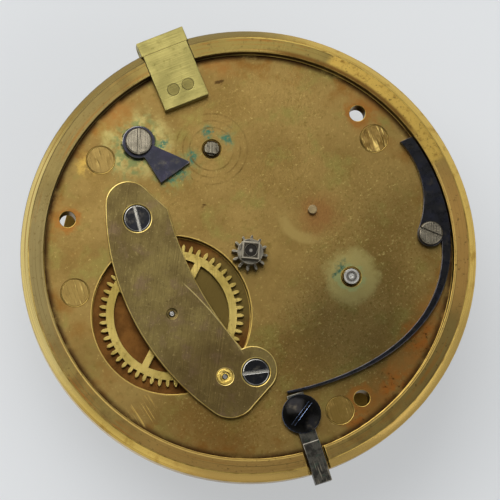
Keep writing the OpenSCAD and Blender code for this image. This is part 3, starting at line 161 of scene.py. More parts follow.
def stain(tree, under, tint, *limits, blend="MIX"):
    """A tint laid over a colour where the limits say."""
    colours = [c if isinstance(c, bpy.types.NodeSocket) else linear(c) for c in (under, tint)]
    mix = {0: cover(tree, limits), 6: colours[0], 7: colours[1]}
    return add(tree, "Mix", mix, data_type="RGBA", blend_type=blend).outputs[2]


def clouds(tree, place, size_mm, low, high):
    """Soft patches about size_mm across."""
    grain = {"Vector": place, "Scale": 1 / size_mm, "Detail": 6.0, "Roughness": 0.62}
    return add(tree, "TexNoise", grain).outputs[0], low, high


def strokes(tree, place, turn_deg, long_mm, fine_mm, low, high):
    """Straight strokes, long_mm by fine_mm, as brushing, filing or scratches leave them.

    Real brushing is too fine to show at the picture's size, so fine_mm is coarser than it.
    """
    turn = {"Vector": place, "Rotation": (0, 0, math.radians(-turn_deg))}
    turned = add(tree, "Mapping", turn).outputs[0]
    stretch = {"Vector": turned, "Scale": (1 / long_mm, 1 / fine_mm, 1 / fine_mm)}
    along = add(tree, "Mapping", stretch).outputs[0]
    noise = add(tree, "TexNoise", {"Vector": along, "Scale": 1.0, "Detail": 3.0, "Roughness": 0.5})
    return noise.outputs[0], low, high


def away(tree, place, centre):
    """The distance in millimetres from an upright axis through centre."""
    flat = add(tree, "VectorMath", {0: place, 1: (1, 1, 0)}, operation="MULTIPLY").outputs[0]
    ends = {0: flat, 1: (centre[0], centre[1], 0)}
    return add(tree, "VectorMath", ends, operation="DISTANCE").outputs["Value"]


def patch(tree, place, centre, radius, soft):
    """A round patch that fades over soft millimetres."""
    return away(tree, place, centre), radius + soft / 2, radius - soft / 2


def ring(tree, place, centre, radius, width):
    """A thin circle, as a turning tool or a riveted end leaves it."""
    gap = add(tree, "Math", {0: away(tree, place, centre), 1: radius}, operation="SUBTRACT").outputs[0]
    return add(tree, "Math", {0: gap}, operation="ABSOLUTE").outputs[0], width, 0.3 * width


def turning(tree, place, fine_mm, low, high):
    """Lines round the middle of the plate, as a lathe tool leaves them, coarse enough to show."""
    flat = add(tree, "VectorMath", {0: place, 1: (1, 1, 0)}, operation="MULTIPLY").outputs[0]
    round_about = add(tree, "VectorMath", {0: flat}, operation="NORMALIZE").outputs[0]
    turns = add(tree, "SeparateXYZ", {0: round_about})
    fine = add(tree, "Math", {0: away(tree, place, (0, 0)), 1: fine_mm}, operation="DIVIDE").outputs[0]
    along = {"X": turns.outputs["X"], "Y": turns.outputs["Y"], "Z": fine}
    line = add(tree, "CombineXYZ", along).outputs[0]
    noise = add(tree, "TexNoise", {"Vector": line, "Scale": 1.0, "Detail": 4.0, "Roughness": 0.6})
    return noise.outputs[0], low, high


def ragged(tree, place, reach_mm):
    """Places moved about by up to reach_mm, for stains with uneven edges."""
    grain = {"Vector": place, "Scale": 0.9, "Detail": 5.0, "Roughness": 0.65}
    noise = add(tree, "TexNoise", grain).outputs[1]
    centred = add(tree, "VectorMath", {0: noise, 1: (0.5, 0.5, 0.5)}, operation="SUBTRACT").outputs[0]
    moved = {0: centred, 1: (2 * reach_mm,) * 3, 2: place}
    return add(tree, "VectorMath", moved, operation="MULTIPLY_ADD").outputs[0]


def polar(radius, degrees):
    """A place on the plate, in millimetres."""
    return radius * math.cos(math.radians(degrees)), radius * math.sin(math.radians(degrees))


def middle(name):
    """The middle of a node seen from above, in millimetres."""
    low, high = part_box(name)
    return (low.x + high.x) / 2 / MM, (low.y + high.y) / 2 / MM


def set_roughness(tree, shader, place, size_mm, low, high):
    """Gives a shader a roughness that drifts between two values."""
    noise = add(tree, "TexNoise", {"Vector": place, "Scale": 1 / size_mm, "Detail": 4.0}).outputs[0]
    ends = {"Value": noise, "From Min": 0.3, "From Max": 0.7, "To Min": low, "To Max": high}
    rough = add(tree, "MapRange", ends).outputs["Result"]
    tree.links.new(rough, shader.inputs["Roughness"])
    return rough


def set_bump(tree, shader, depth_mm, limits):
    """Cuts a pattern depth_mm deep into the surface."""
    cut = {"Strength": 1.0, "Distance": depth_mm * MM, "Height": cover(tree, limits)}
    tree.links.new(add(tree, "Bump", cut).outputs[0], shader.inputs["Normal"])


def worn_edge(name, bright, dull, roughness, dark_patch=None):
    """Metal rubbed bright along an edge, dulled again in places, and darkened in one round patch."""
    material, tree, shader, place = new_metal(name)
    tone = stain(tree, bright, dull, clouds(tree, place, 1.5, 0.42, 0.7))
    if dark_patch:
        outside = (away(tree, place, (0, 0)), dark_patch["least_r"] - 0.5, dark_patch["least_r"])
        spread = patch(tree, place, dark_patch["centre"], dark_patch["radius"], dark_patch["soft"])
        tone = stain(tree, tone, dark_patch["tint"], outside, spread)
    tree.links.new(tone, shader.inputs["Base Color"])
    shader.inputs["Roughness"].default_value = roughness
    return material


rim_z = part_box("pillar_plate")[1].z / MM
dial_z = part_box("third_wheel_bridge")[0].z / MM
rim_inner_r = 20.5
rim_flat_r = 22.0
recess_r = 7.95
barrel_at = middle("barrel_arbor")
fusee_at = middle("fusee_arbor")
third_at = middle("third_wheel")
stud_at = middle("minute_wheel_stud")
click_at = middle("click_screw")
pillars_at = [polar(17.66, 125.1), polar(17.79, 170.5), polar(17.43, 21.1), polar(18.0, -82.1)]
dial_feet_at = [polar(18.46, 146.9), polar(18.24, 30.65), polar(18.2, -74.2)]


def brown_face(tree, place, uneven, on_dial, below_rim):
    """The bare flat: clouded brown-olive, speckled, paler by the click and the fusee arbor."""
    tone = stain(tree, "#8d7441", "#796133", clouds(tree, place, 7.0, 0.35, 0.68))
    tone = stain(tree, tone, "#82743d", clouds(tree, place, 3.2, 0.5, 0.7))
    tone = stain(tree, tone, "#76602f", clouds(tree, place, 0.5, 0.5, 0.8))
    tone = stain(tree, tone, "#a38d52", clouds(tree, place, 0.3, 0.58, 0.75))
    speckled = [(polar(13.5, -50), 9.0), (polar(13.5, -10), 7.0), (polar(13.5, -118), 7.0)]
    for centre, size in speckled:
        spread = patch(tree, uneven, centre, size, 6.0)
        tone = stain(tree, tone, "#715e2d", below_rim, spread, clouds(tree, place, 0.24, 0.5, 0.72))
        tone = stain(tree, tone, "#a8965a", below_rim, spread, clouds(tree, place, 0.26, 0.57, 0.72))
    by_click = patch(tree, uneven, click_at, 3.4, 2.0)
    tone = stain(tree, tone, "#a2945a", on_dial, by_click, clouds(tree, place, 1.1, 0.36, 0.62))
    wheel_mark = ring(tree, place, (stud_at[0] - 0.2, stud_at[1] + 0.1), 2.9, 0.8)
    marked_side = patch(tree, uneven, (stud_at[0] - 2.2, stud_at[1] - 1.6), 2.4, 1.6)
    tone = stain(tree, tone, "#937d48", on_dial, wheel_mark, marked_side)
    tone = stain(tree, tone, "#a2945a", on_dial, patch(tree, uneven, fusee_at, 2.6, 1.4))
    by_stud = patch(tree, uneven, (stud_at[0] + 0.5, stud_at[1] - 0.6), 1.8, 2.4)
    return stain(tree, tone, "#835f34", on_dial, by_stud)


def orange_stains(tree, tone, place, uneven, on_dial, below_rim):
    """Orange tarnish on the flat towards the rim, rusty and near black outside the bolt spring."""
    by_rim = (away(tree, place, (0, 0)), 16.0, 20.4)
    tone = stain(tree, tone, "#7f5928", on_dial, below_rim, by_rim, clouds(tree, place, 2.6, 0.46, 0.68))
    orange = [(polar(19.9, 75.5), 1.4), (polar(19.9, 110.5), 1.4), (polar(19.4, 28), 2.2),
              (polar(19.6, -40), 2.0), (polar(19.5, -58), 1.8), (polar(19.6, -72), 1.5)]
    for centre, size in orange:
        spread = patch(tree, uneven, centre, size, 2.4)
        broken = clouds(tree, place, 1.2, 0.3, 0.6)
        tone = stain(tree, tone, "#8a6231", on_dial, below_rim, spread, broken)
    for centre, size in [(polar(19.0, -48), 1.7), (polar(19.5, -64), 1.6), (polar(19.2, -79), 1.3)]:
        spread = patch(tree, uneven, centre, size, 1.6)
        rusty = clouds(tree, place, 0.9, 0.36, 0.6)
        tone = stain(tree, tone, "#935c27", on_dial, below_rim, spread, rusty)
        black = clouds(tree, place, 0.4, 0.54, 0.7)
        tone = stain(tree, tone, "#52381b", on_dial, below_rim, spread, black)
    return tone


def green_corrosion(tree, tone, place, uneven, on_dial):
    """Grey-green films and blue-green specks where oil has sat round the click and the fusee arbor."""
    films = [(click_at, 2.6), (polar(14.95, 122), 1.2), (polar(11.3, 112), 1.7), (polar(11.3, 99), 1.0),
             (polar(13.0, 86.5), 0.6), (polar(12.1, 78.2), 0.8)]
    for centre, size in films:
        broken = clouds(tree, place, 0.7, 0.42, 0.62)
        tone = stain(tree, tone, "#71784a", on_dial, patch(tree, uneven, centre, size, 1.6), broken)
    specks = [(polar(14.0, 105), 0.4), (polar(13.0, 86.5), 0.3), (polar(12.1, 78.2), 0.45),
              (polar(11.4, 98), 0.4), (polar(11.2, 113), 0.5), (polar(10.9, 108), 0.4),
              ((fusee_at[0] - 0.5, fusee_at[1] + 1.4), 0.35), ((fusee_at[0] - 1.1, fusee_at[1] + 0.8), 0.3)]
    for centre, size in specks:
        mottled = clouds(tree, place, 0.3, 0.34, 0.56)
        tone = stain(tree, tone, "#3c6450", on_dial, patch(tree, uneven, centre, size + 0.1, 0.6), mottled)
    round_screw = ring(tree, place, click_at, 1.66, 0.22)
    return stain(tree, tone, "#39402a", on_dial, round_screw, clouds(tree, place, 0.5, 0.36, 0.56))


def face_marks(tree, tone, place, uneven, on_dial, below_rim):
    """Dark specks, painted sheen by a pillar, the shaded foot of the rim, and circles round arbors, riveted
    ends and dial feet.
    """
    for centre, size in [(polar(17.9, 78), 0.35), (polar(6.75, 110.7), 0.2)]:
        tone = stain(tree, tone, "#4f3a1e", on_dial, patch(tree, uneven, centre, size, 0.3))
    # The golden patch by the upper-left pillar is a painted sheen.
    painted_sheen = patch(tree, uneven, polar(18.6, 129), 1.0, 1.2)
    tone = stain(tree, tone, "#b8974a", on_dial, painted_sheen, clouds(tree, place, 0.8, 0.35, 0.6))
    foot = (away(tree, place, (0, 0)), rim_inner_r - 0.8, rim_inner_r - 0.1)
    tone = stain(tree, tone, "#3d2915", foot, below_rim, clouds(tree, place, 2.5, 0.25, 0.5))
    for size in [3.6, 2.9, 2.2]:
        faint = clouds(tree, place, 2.0, 0.35, 0.75)
        tone = stain(tree, tone, "#655029", on_dial, ring(tree, place, barrel_at, size, 0.12), faint)
    for centre in pillars_at:
        tone = stain(tree, tone, "#4f3c1c", on_dial, ring(tree, place, centre, 1.4, 0.12))
    for centre in dial_feet_at:
        tone = stain(tree, tone, "#8b5f2c", on_dial, patch(tree, uneven, centre, 1.3, 0.6))
    return stain(tree, tone, "#999d66", on_dial, patch(tree, uneven, fusee_at, 1.35, 0.5))


def recess_rust_and_shade(tree, place, uneven):
    """The floor of the third wheel's recess: rust-brown, darkened as painted shade, olive at one side of
    the wheel.
    """
    tone = stain(tree, "#6f4a22", "#563819", clouds(tree, place, 2.4, 0.35, 0.62))
    olive = patch(tree, uneven, (third_at[0] + 5.0, third_at[1]), 4.0, 2.0)
    return stain(tree, tone, "#5f4f28", olive)


def rim_tarnish_and_painted_light(tree, place, uneven):
    """The rim's flat top: dull and turned, its tint changing round it, one stretch worn to bright brass.

    A painted highlight and painted shade lie along parts of its inner edge.
    """
    tone = stain(tree, "#85723f", "#705d33", clouds(tree, place, 2.0, 0.4, 0.65))
    for turn, tint, size in [(-25, "#a37f45", 10.0), (155, "#82734a", 10.0), (70, "#87753f", 10.0),
                             (-118, "#927540", 10.0), (-52, "#786639", 5.5), (126, "#7a6a3f", 7.0)]:
        tone = stain(tree, tone, tint, patch(tree, uneven, polar(21.5, turn), size, size - 1.0))
    coarse = turning(tree, place, 0.3, 0.5, 0.7)
    tone = stain(tree, tone, "#8c5f2b", coarse, clouds(tree, place, 3.0, 0.4, 0.6))
    tone = stain(tree, tone, "#574624", turning(tree, place, 0.12, 0.55, 0.75))
    # A pale line along the rim's inner edge, only towards the lower right, is a painted highlight.
    painted_edge_highlight = ring(tree, place, (0, 0), rim_inner_r + 0.2, 0.09)
    tone = stain(tree, tone, "#c3a35a", painted_edge_highlight, patch(tree, place, polar(21.0, -60), 36.0, 8.0))
    worn = stain(tree, "#b8984a", "#8c6c30", clouds(tree, place, 0.5, 0.5, 0.72))
    worn = stain(tree, worn, "#4c3b1c", clouds(tree, place, 0.3, 0.62, 0.7))
    tone = stain(tree, tone, worn, patch(tree, place, polar(21.6, 25), 7.6, 0.9))
    # A dark band along the inner edge by the worn stretch is painted shade.
    painted_lip_shade = (away(tree, place, (0, 0)), rim_inner_r + 0.6, rim_inner_r + 0.25)
    tone = stain(tree, tone, "#6a4d24", painted_lip_shade, patch(tree, place, polar(21.0, 38), 8.5, 4.0))
    return stain(tree, tone, "#5f4d29", clouds(tree, place, 0.35, 0.56, 0.74))


def bevel_gold(tree, place, uneven):
    """The outer bevel: bright gold, turned, pitted by the worn stretch; painted light and shade round it.
    """
    tone = stain(tree, "#dcb95f", "#b8923f", clouds(tree, place, 1.3, 0.5, 0.72))
    # Lighter and darker tints round the bevel are painted light and shade.
    for turn, tint, size in [(160, "#ecd184", 13.0), (92, "#95804a", 13.0),
                             (-60, "#b2944f", 10.0), (-98, "#a98b4c", 13.0)]:
        tone = stain(tree, tone, tint, patch(tree, uneven, polar(22.4, turn), size, 8.0))
    tone = stain(tree, tone, "#a37e38", turning(tree, place, 0.1, 0.5, 0.75))
    pitted = patch(tree, uneven, polar(22.4, 22), 7.0, 4.0)
    return stain(tree, tone, "#4a3819", clouds(tree, place, 0.35, 0.66, 0.72), pitted)


def plate_brass():
    """Brushed brass, tarnished unevenly: matt, brown-olive, with orange, green and dark stains, and painted
    shade.
    """
    material, tree, shader, place = new_metal("tarnished_plate_brass")
    height = add(tree, "SeparateXYZ", {0: place}).outputs["Z"]
    uneven = ragged(tree, place, 1.3)
    on_dial = (height, dial_z - 0.08, dial_z - 0.04)
    sunk = (height, dial_z - 0.02, dial_z - 0.06)
    in_recess = (height, dial_z - 0.15, dial_z - 0.3)
    below_rim = (height, rim_z - 0.1, dial_z + 0.6)
    on_rim = (height, rim_z - 0.25, rim_z - 0.1)
    at_bevel = (away(tree, place, (0, 0)), rim_flat_r - 0.02, rim_flat_r + 0.06)

    tone = brown_face(tree, place, uneven, on_dial, below_rim)
    tone = orange_stains(tree, tone, place, uneven, on_dial, below_rim)
    tone = green_corrosion(tree, tone, place, uneven, on_dial)
    tone = face_marks(tree, tone, place, uneven, on_dial, below_rim)
    for centre in [fusee_at, barrel_at]:
        tone = stain(tree, tone, "#2a2013", sunk, patch(tree, place, centre, 1.0, 0.15))
    near_wheel = (away(tree, place, third_at), recess_r + 0.2, recess_r + 0.05)
    tone = stain(tree, tone, recess_rust_and_shade(tree, place, uneven), in_recess, near_wheel)
    tone = stain(tree, tone, "#bd9f57", on_dial, ring(tree, place, third_at, recess_r + 0.05, 0.1))
    tone = stain(tree, tone, rim_tarnish_and_painted_light(tree, place, uneven), on_rim)
    tone = stain(tree, tone, bevel_gold(tree, place, uneven), at_bevel)

    scratches = strokes(tree, place, 50.0, 2.0, 0.09, 0.68, 0.76)
    tone = stain(tree, tone, "#a8904f", scratches, below_rim, clouds(tree, place, 5.0, 0.5, 0.7))
    filed = patch(tree, uneven, polar(19.1, -146), 1.4, 1.0)
    tone = stain(tree, tone, "#b4964f", filed, strokes(tree, place, -80.0, 4.0, 0.16, 0.55, 0.65))
    # Broad patches towards the right and bottom are multiplied darker: painted shade where less light
    # falls.
    dimmed = [(polar(12.5, -56), 5.6, "#bfc1c6"), (polar(15.0, -14), 4.5, "#e8e8ea"),
              (polar(17.5, -122), 4.5, "#e6dcd4"), (polar(11.1, -94.5), 3.0, "#e2dedb")]
    for centre, size, tint in dimmed:
        spread = patch(tree, uneven, centre, size, 8.0)
        tone = stain(tree, tone, tint, below_rim, spread, blend="MULTIPLY")
    tree.links.new(tone, shader.inputs["Base Color"])

    rough = set_roughness(tree, shader, place, 4.0, 0.3, 0.42)
    polished_bevel = {0: cover(tree, [at_bevel]), 2: rough, 3: 0.24}
    smooth = add(tree, "Mix", polished_bevel, data_type="FLOAT").outputs[0]
    tree.links.new(smooth, shader.inputs["Roughness"])
    grain = add(tree, "TexNoise", {"Vector": place, "Scale": 5.0, "Detail": 4.0}).outputs[0]
    set_bump(tree, shader, 0.004, [(grain, 0.2, 0.8)])
    return material


# The plate's rubbed edges are darkened towards the upper left: painted shade.
plate_edge_shade = {
    "tint": "#57492a", "least_r": 20.2, "centre": polar(21.5, 113), "radius": 15.0, "soft": 8.0,
}
plate_edge = worn_edge("rubbed_plate_edge", "#c4a556", "#8a6c33", roughness=0.4, dark_patch=plate_edge_shade)
finished("pillar_plate", 0.06, plate_brass(), plate_edge)

# Case hinge: a block of paler brass let into the rim and held by two flush rivets.
# Filed flat across its top; the knuckle outside the rim takes the case's hinge pin.


def patina_brass(name, clean, dull, dark, brush_deg, roughness):
    """Brushed brass under an even, thin patina: satin, with faint straight lines and dull clouds."""
    material, tree, shader, place = new_metal(name)
    tone = stain(tree, clean, dull, clouds(tree, place, 4.0, 0.36, 0.64))
    tone = stain(tree, tone, dark, clouds(tree, place, 0.5, 0.54, 0.8))
    brushing = strokes(tree, place, brush_deg, 7.0, 0.14, 0.3, 0.7)
    tone = stain(tree, tone, clean, brushing, clouds(tree, place, 1.5, 0.5, 0.8))
    tree.links.new(tone, shader.inputs["Base Color"])
    set_roughness(tree, shader, place, 2.0, roughness - 0.06, roughness + 0.08)
    set_bump(tree, shader, 0.005, [brushing])
    return material


hinge_brass = patina_brass(
    "filed_hinge_brass", "#a89c5d", "#938950", "#7d743f", brush_deg=0.0, roughness=0.42,
)
# The hinge's edges are darkened at the step by the knuckle: a painted shadow.
hinge_step_shadow = {
    "tint": "#6f6538", "least_r": 0.0, "centre": (0.0, 22.6), "radius": 2.6, "soft": 0.6,
}
hinge_edge = worn_edge(
    "rubbed_hinge_edge", "#b3a766", "#938850", roughness=0.42, dark_patch=hinge_step_shadow,
)
finished("hinge_block", 0.05, hinge_brass, hinge_edge)
rivet_brass = patina_brass(
    "hinge_rivet_brass", "#8a7f48", "#7a7040", "#655c33", brush_deg=0.0, roughness=0.45,
)
finished("hinge_rivets", 0.03, rivet_brass)

# Wheels and turned brass of the train, fusee, barrel and balance, held between the two plates.
# Yellow brass, brighter than the plate; the wheels are cut with their teeth and crossed out to spokes.
wheel_brass = patina_brass(
    "yellow_wheel_brass", "#bba45c", "#a18c48", "#7c6732", brush_deg=70.0, roughness=0.36,
)
for wheel in ["third_wheel", "centre_wheel", "great_wheel", "contrate_wheel"]:
    finished(wheel, 0.025, wheel_brass)
finished("crown_wheel", 0.008, wheel_brass)
for turned in ["fusee_cone", "barrel_drum", "barrel_cover", "balance_wheel", "balance_collet"]:
    finished(turned, 0.03, wheel_brass)

# Arbors, fusee chain and mainspring: turned and polished steel arbors with their pinions, which run in
# holes in the plates, a chain of dulled steel from barrel to fusee, and a dark coiled spring.
# The ends of the fusee and barrel arbors show in the dial face.


def steel(name, bright, dull, dark, turn_deg, roughness):
    """Polished steel with a fine straight grain: bright, dulled in patches."""
    material, tree, shader, place = new_metal(name)
    tone = stain(tree, bright, dull, clouds(tree, place, 1.6, 0.4, 0.65))
    tone = stain(tree, tone, dark, clouds(tree, place, 0.45, 0.56, 0.75))
    grain = strokes(tree, place, turn_deg, 4.0, 0.07, 0.35, 0.7)
    tone = stain(tree, tone, dull, grain)
    tree.links.new(tone, shader.inputs["Base Color"])
    set_roughness(tree, shader, place, 0.8, roughness - 0.05, roughness + 0.1)
    set_bump(tree, shader, 0.003, [grain])
    return material


def turned_end_steel():
    """Bright turned steel, with a dark ring painted round the middle of its upper end as the shade of a
    rounded end.
    """
    material, tree, shader, place = new_metal("turned_end_steel")
    height = add(tree, "SeparateXYZ", {0: place}).outputs["Z"]
    tone = stain(tree, "#c2bfb7", "#9a978f", clouds(tree, place, 0.8, 0.4, 0.65))
    dome_shade = ring(tree, place, fusee_at, 0.42, 0.2)
    tone = stain(tree, tone, "#65615a", (height, dial_z, dial_z + 0.1), dome_shade)
    tree.links.new(tone, shader.inputs["Base Color"])
    set_roughness(tree, shader, place, 0.8, 0.22, 0.34)
    return material


arbor_steel = steel("arbor_steel", "#a7a49d", "#7d7a74", "#45413c", turn_deg=0.0, roughness=0.3)
for arbor in ["third_arbor", "contrate_arbor", "verge"]:
    finished(arbor, 0.015, arbor_steel)
finished("crown_arbor", 0.005, arbor_steel)
finished("fusee_arbor", 0.01, turned_end_steel())
square_end = steel("oiled_square_steel", "#7b7564", "#565043", "#26231d", turn_deg=68.0, roughness=0.22)
finished("barrel_arbor", 0.02, square_end)
dark_steel = steel("dulled_dark_steel", "#57534b", "#3b3834", "#22201e", turn_deg=-5.0, roughness=0.36)
finished("fusee_chain", 0.04, dark_steel)
finished("mainspring", 0.02, dark_steel)

# Frame: the top plate stands off the pillar plate on four turned pillars, held by steel taper pins.
# The plate, cock, potences and pillars are gilt brass; the pillars' riveted ends show in the dial face.


def pillar_brass():
    """Gilt brass, with the riveted ends filed flush, streaked and tarnished like the plate."""
    material, tree, shader, place = new_metal("riveted_pillar_brass")
    height = add(tree, "SeparateXYZ", {0: place}).outputs["Z"]
    tone = stain(tree, "#b99a4c", "#a3853f", clouds(tree, place, 3.0, 0.36, 0.64))
    end = stain(tree, "#937843", "#735a2c", clouds(tree, place, 0.9, 0.4, 0.65))
    bright_strokes = strokes(tree, place, 85.0, 2.5, 0.22, 0.54, 0.62)
    end = stain(tree, end, "#e0c272", bright_strokes, clouds(tree, place, 1.5, 0.4, 0.56))
    end = stain(tree, end, "#5e4a24", strokes(tree, place, 85.0, 2.0, 0.2, 0.42, 0.34))
    for pillar, tint in [(0, "#967d47"), (1, "#937a43"), (3, "#77602f")]:
        one_end = patch(tree, place, pillars_at[pillar], 1.8, 0.2)
        end = stain(tree, end, tint, one_end, clouds(tree, place, 0.7, 0.2, 0.6))
    tone = stain(tree, tone, end, (height, dial_z - 0.1, dial_z - 0.05))
    tree.links.new(tone, shader.inputs["Base Color"])
    set_roughness(tree, shader, place, 1.0, 0.34, 0.5)
    set_bump(tree, shader, 0.01, [strokes(tree, place, 85.0, 2.5, 0.22, 0.4, 0.66)])
    return material


finished("pillars", 0.03, pillar_brass())
gilt = patina_brass("gilt_frame_brass", "#b99a4c", "#a3853f", "#80662c", brush_deg=35.0, roughness=0.4)
for name, slot in [("top_plate", "plate_brass"), ("potence", "hinge_brass"),
                   ("counter_potence", "hinge_brass"), ("balance_cock", "wheel_brass")]:
    finished(name, 0.02, gilt)
polished = steel("polished_steel", "#867e6d", "#70695a", "#39342a", turn_deg=68.0, roughness=0.22)
for name in ["pillar_pins", "cock_end_cap", "hairspring_stud", "regulator_index"]:
    finished(name, 0.02, polished)

# Hairspring and the screws of the cock and potences: steel, polished and then heated until it turns blue.
# The spring is coiled from thin strip; the screws' corners are rubbed grey.


def blued_steel(name, deep, violet, worn, roughness, slot_z=None):
    """Steel heated blue: glossy, blue-black to violet, worn grey-brown, pale in a slot below slot_z.

    The pale slot floor is a painted reflection.
    """
    material, tree, shader, place = new_metal(name)
    tone = stain(tree, deep, violet, clouds(tree, place, 1.8, 0.4, 0.68))
    tone = stain(tree, tone, worn, clouds(tree, place, 0.7, 0.52, 0.76))
    if slot_z:
        height = add(tree, "SeparateXYZ", {0: place}).outputs["Z"]
        # The slot's floor is painted pale: a painted reflection.
        tone = stain(tree, tone, "#938f85", (height, slot_z, slot_z - 0.04))
    tree.links.new(tone, shader.inputs["Base Color"])
    set_roughness(tree, shader, place, 0.6, roughness - 0.06, roughness + 0.1)
    return material


blued = blued_steel("blued_screw_steel", "#17181d", "#23253a", "#4a4741", roughness=0.22)
finished("hairspring", 0.02, blued)
blued_edge = worn_edge("rubbed_blued_edge", "#8a888a", "#4b4a55", roughness=0.25)
for screw in ["cock_screw", "potence_screws"]:
    finished(screw, 0.03, blued, blued_edge)

# Third wheel bridge: a crescent bar of brass under an even grey-brown patina, screwed to the plate.
# Its edge is chamfered and polished; a bright bush carries the contrate pivot.


def bridge_brass():
    """Brass under a grey-brown patina: satin, with fine wear and one long scribed scratch."""
    material, tree, shader, place = new_metal("bridge_patina_brass")
    tone = stain(tree, "#75663c", "#625331", clouds(tree, place, 4.0, 0.36, 0.64))
    tone = stain(tree, tone, "#6f5c42", clouds(tree, place, 2.2, 0.5, 0.7))
    tone = stain(tree, tone, "#544629", clouds(tree, place, 0.4, 0.53, 0.84))
    tone = stain(tree, tone, "#8a7a4e", clouds(tree, place, 0.28, 0.57, 0.72))
    tone = stain(tree, tone, "#7f7049", strokes(tree, place, -40.0, 3.0, 0.1, 0.64, 0.76))
    scratch = ring(tree, place, (-42.05, -16.5), 38.4, 0.08)
    stretch = patch(tree, place, (-5.7, -4.6), 4.4, 1.0)
    tone = stain(tree, tone, "#a3925f", scratch, stretch)
    dimmed = patch(tree, place, polar(13.3, -127.2), 4.5, 5.0)
    tone = stain(tree, tone, "#e2ddda", dimmed, blend="MULTIPLY")
    tree.links.new(tone, shader.inputs["Base Color"])
    set_roughness(tree, shader, place, 2.0, 0.36, 0.5)
    set_bump(tree, shader, 0.005, [strokes(tree, place, 60.0, 7.0, 0.14, 0.3, 0.7)])
    return material


# The polished edge is darker round the third wheel's pivot hole.
bridge_pivot_edge_darkening = {
    "tint": "#7d6b3f", "least_r": 0.0, "centre": third_at, "radius": 1.0, "soft": 0.2,
}
bridge_edge = worn_edge(
    "polished_bridge_edge", "#e2c878", "#b4954a", roughness=0.4, dark_patch=bridge_pivot_edge_darkening,
)
finished("third_wheel_bridge", 0.1, bridge_brass(), bridge_edge)
bush_brass = patina_brass(
    "bright_bush_brass", "#dcc068", "#bf9f4c", "#8e7232", brush_deg=0.0, roughness=0.28,
)
finished("contrate_bush", 0.06, bush_brass)
bridge_slot_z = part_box("bridge_screws")[1].z / MM - 0.08
dulled_blue = blued_steel(
    "dulled_screw_steel", "#222223", "#1f2028", "#4d4942", roughness=0.24, slot_z=bridge_slot_z,
)
screw_edge = worn_edge("rubbed_screw_edge", "#b5b2ab", "#6f6d6b", roughness=0.28)
finished("bridge_screws", 0.04, dulled_blue, screw_edge)

# Motion-work seats: the steel cannon pinion with its hand-setting square, and the minute wheel's stud.
# The arbor's end is sunk in the square, painted black as shade round its bright turning centre.
# The pinion is held on the arbor by friction; the brass stud is driven into the plate.
SQUARE_TURN = math.radians(27)


def pinion_steel():
    """Dulled steel, with the square's end dark inside its rubbed border."""
    material, tree, shader, place = new_metal("pinion_steel")
    tone = stain(tree, "#7c7668", "#565147", clouds(tree, place, 1.6, 0.4, 0.65))
    tone = stain(tree, tone, "#28251f", clouds(tree, place, 0.4, 0.54, 0.72))
    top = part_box("cannon_pinion")[1].z / MM
    height = add(tree, "SeparateXYZ", {0: place}).outputs["Z"]
    turned = add(tree, "Mapping", {"Vector": place, "Rotation": (0, 0, SQUARE_TURN)}).outputs[0]
    either_side = add(tree, "VectorMath", {0: turned}, operation="ABSOLUTE").outputs[0]
    sides = add(tree, "SeparateXYZ", {0: either_side}).outputs
    reach = add(tree, "Math", {0: sides["X"], 1: sides["Y"]}, operation="MAXIMUM").outputs[0]
    end = stain(tree, "#38332b", "#938b7a", (reach, 0.66, 0.78))
    tone = stain(tree, tone, end, (height, top - 0.1, top - 0.04))
    tree.links.new(tone, shader.inputs["Base Color"])
    set_roughness(tree, shader, place, 0.8, 0.28, 0.42)
    return material


def painted_shade_arbor_steel():
    """Arbor steel, with the upper end painted black as shade but for a bright dot in its middle."""
    material, tree, shader, place = new_metal("painted_shade_arbor_steel")
    height = add(tree, "SeparateXYZ", {0: place}).outputs["Z"]
    tone = stain(tree, "#a7a49d", "#7d7a74", clouds(tree, place, 1.6, 0.4, 0.65))
    end = stain(tree, "#2b2824", "#7b766d", patch(tree, place, middle("centre_arbor"), 0.16, 0.1))
    tone = stain(tree, tone, end, (height, rim_z - 0.3, rim_z))
    tree.links.new(tone, shader.inputs["Base Color"])
    shader.inputs["Roughness"].default_value = 0.32
    return material


pinion_edge = worn_edge("rubbed_pinion_edge", "#b5ae9d", "#7f7969", roughness=0.34)
finished("cannon_pinion", 0.02, pinion_steel(), pinion_edge)
finished("centre_arbor", 0.015, painted_shade_arbor_steel())
stud_brass = patina_brass(
    "dulled_stud_brass", "#917f5c", "#796a4c", "#5b4e36", brush_deg=0.0, roughness=0.4,
)
finished("minute_wheel_stud", 0.04, stud_brass)

# Set-up click: a small steel pawl, heated blue and since worn to a dull violet grey.
# It pivots on a polished steel screw in the plate.
click_blue = blued_steel("violet_click_steel", "#313138", "#36343f", "#4f4b43", roughness=0.3)
finished("click", 0.05, click_blue, blued_edge)
finished("click_screw", 0.04, polished)

# Case bolt and its spring: a dark steel catch that slides in and out across the rim, held by its screw.
# A long blued steel spring, bent along the rim and screwed down at one end, presses it outwards.


def bolt_steel():
    """Dark steel, scratched along its length, a little green, with paler streaks near its outer end."""
    material, tree, shader, place = new_metal("scratched_bolt_steel")
    along = math.degrees(math.atan2(middle("bolt")[1], middle("bolt")[0]))
    tone = stain(tree, "#545149", "#312f2b", clouds(tree, place, 0.8, 0.4, 0.62))
    tone = stain(tree, tone, "#34443a", clouds(tree, place, 0.6, 0.55, 0.68))
    outer = (away(tree, place, (0, 0)), 21.0, 23.0)
    streaks = strokes(tree, place, along, 2.0, 0.16, 0.52, 0.66)
    tone = stain(tree, tone, "#827a6a", outer, streaks)
    tree.links.new(tone, shader.inputs["Base Color"])
    set_roughness(tree, shader, place, 0.8, 0.3, 0.46)
    set_bump(tree, shader, 0.004, [strokes(tree, place, along, 4.0, 0.1, 0.35, 0.7)])
    return material


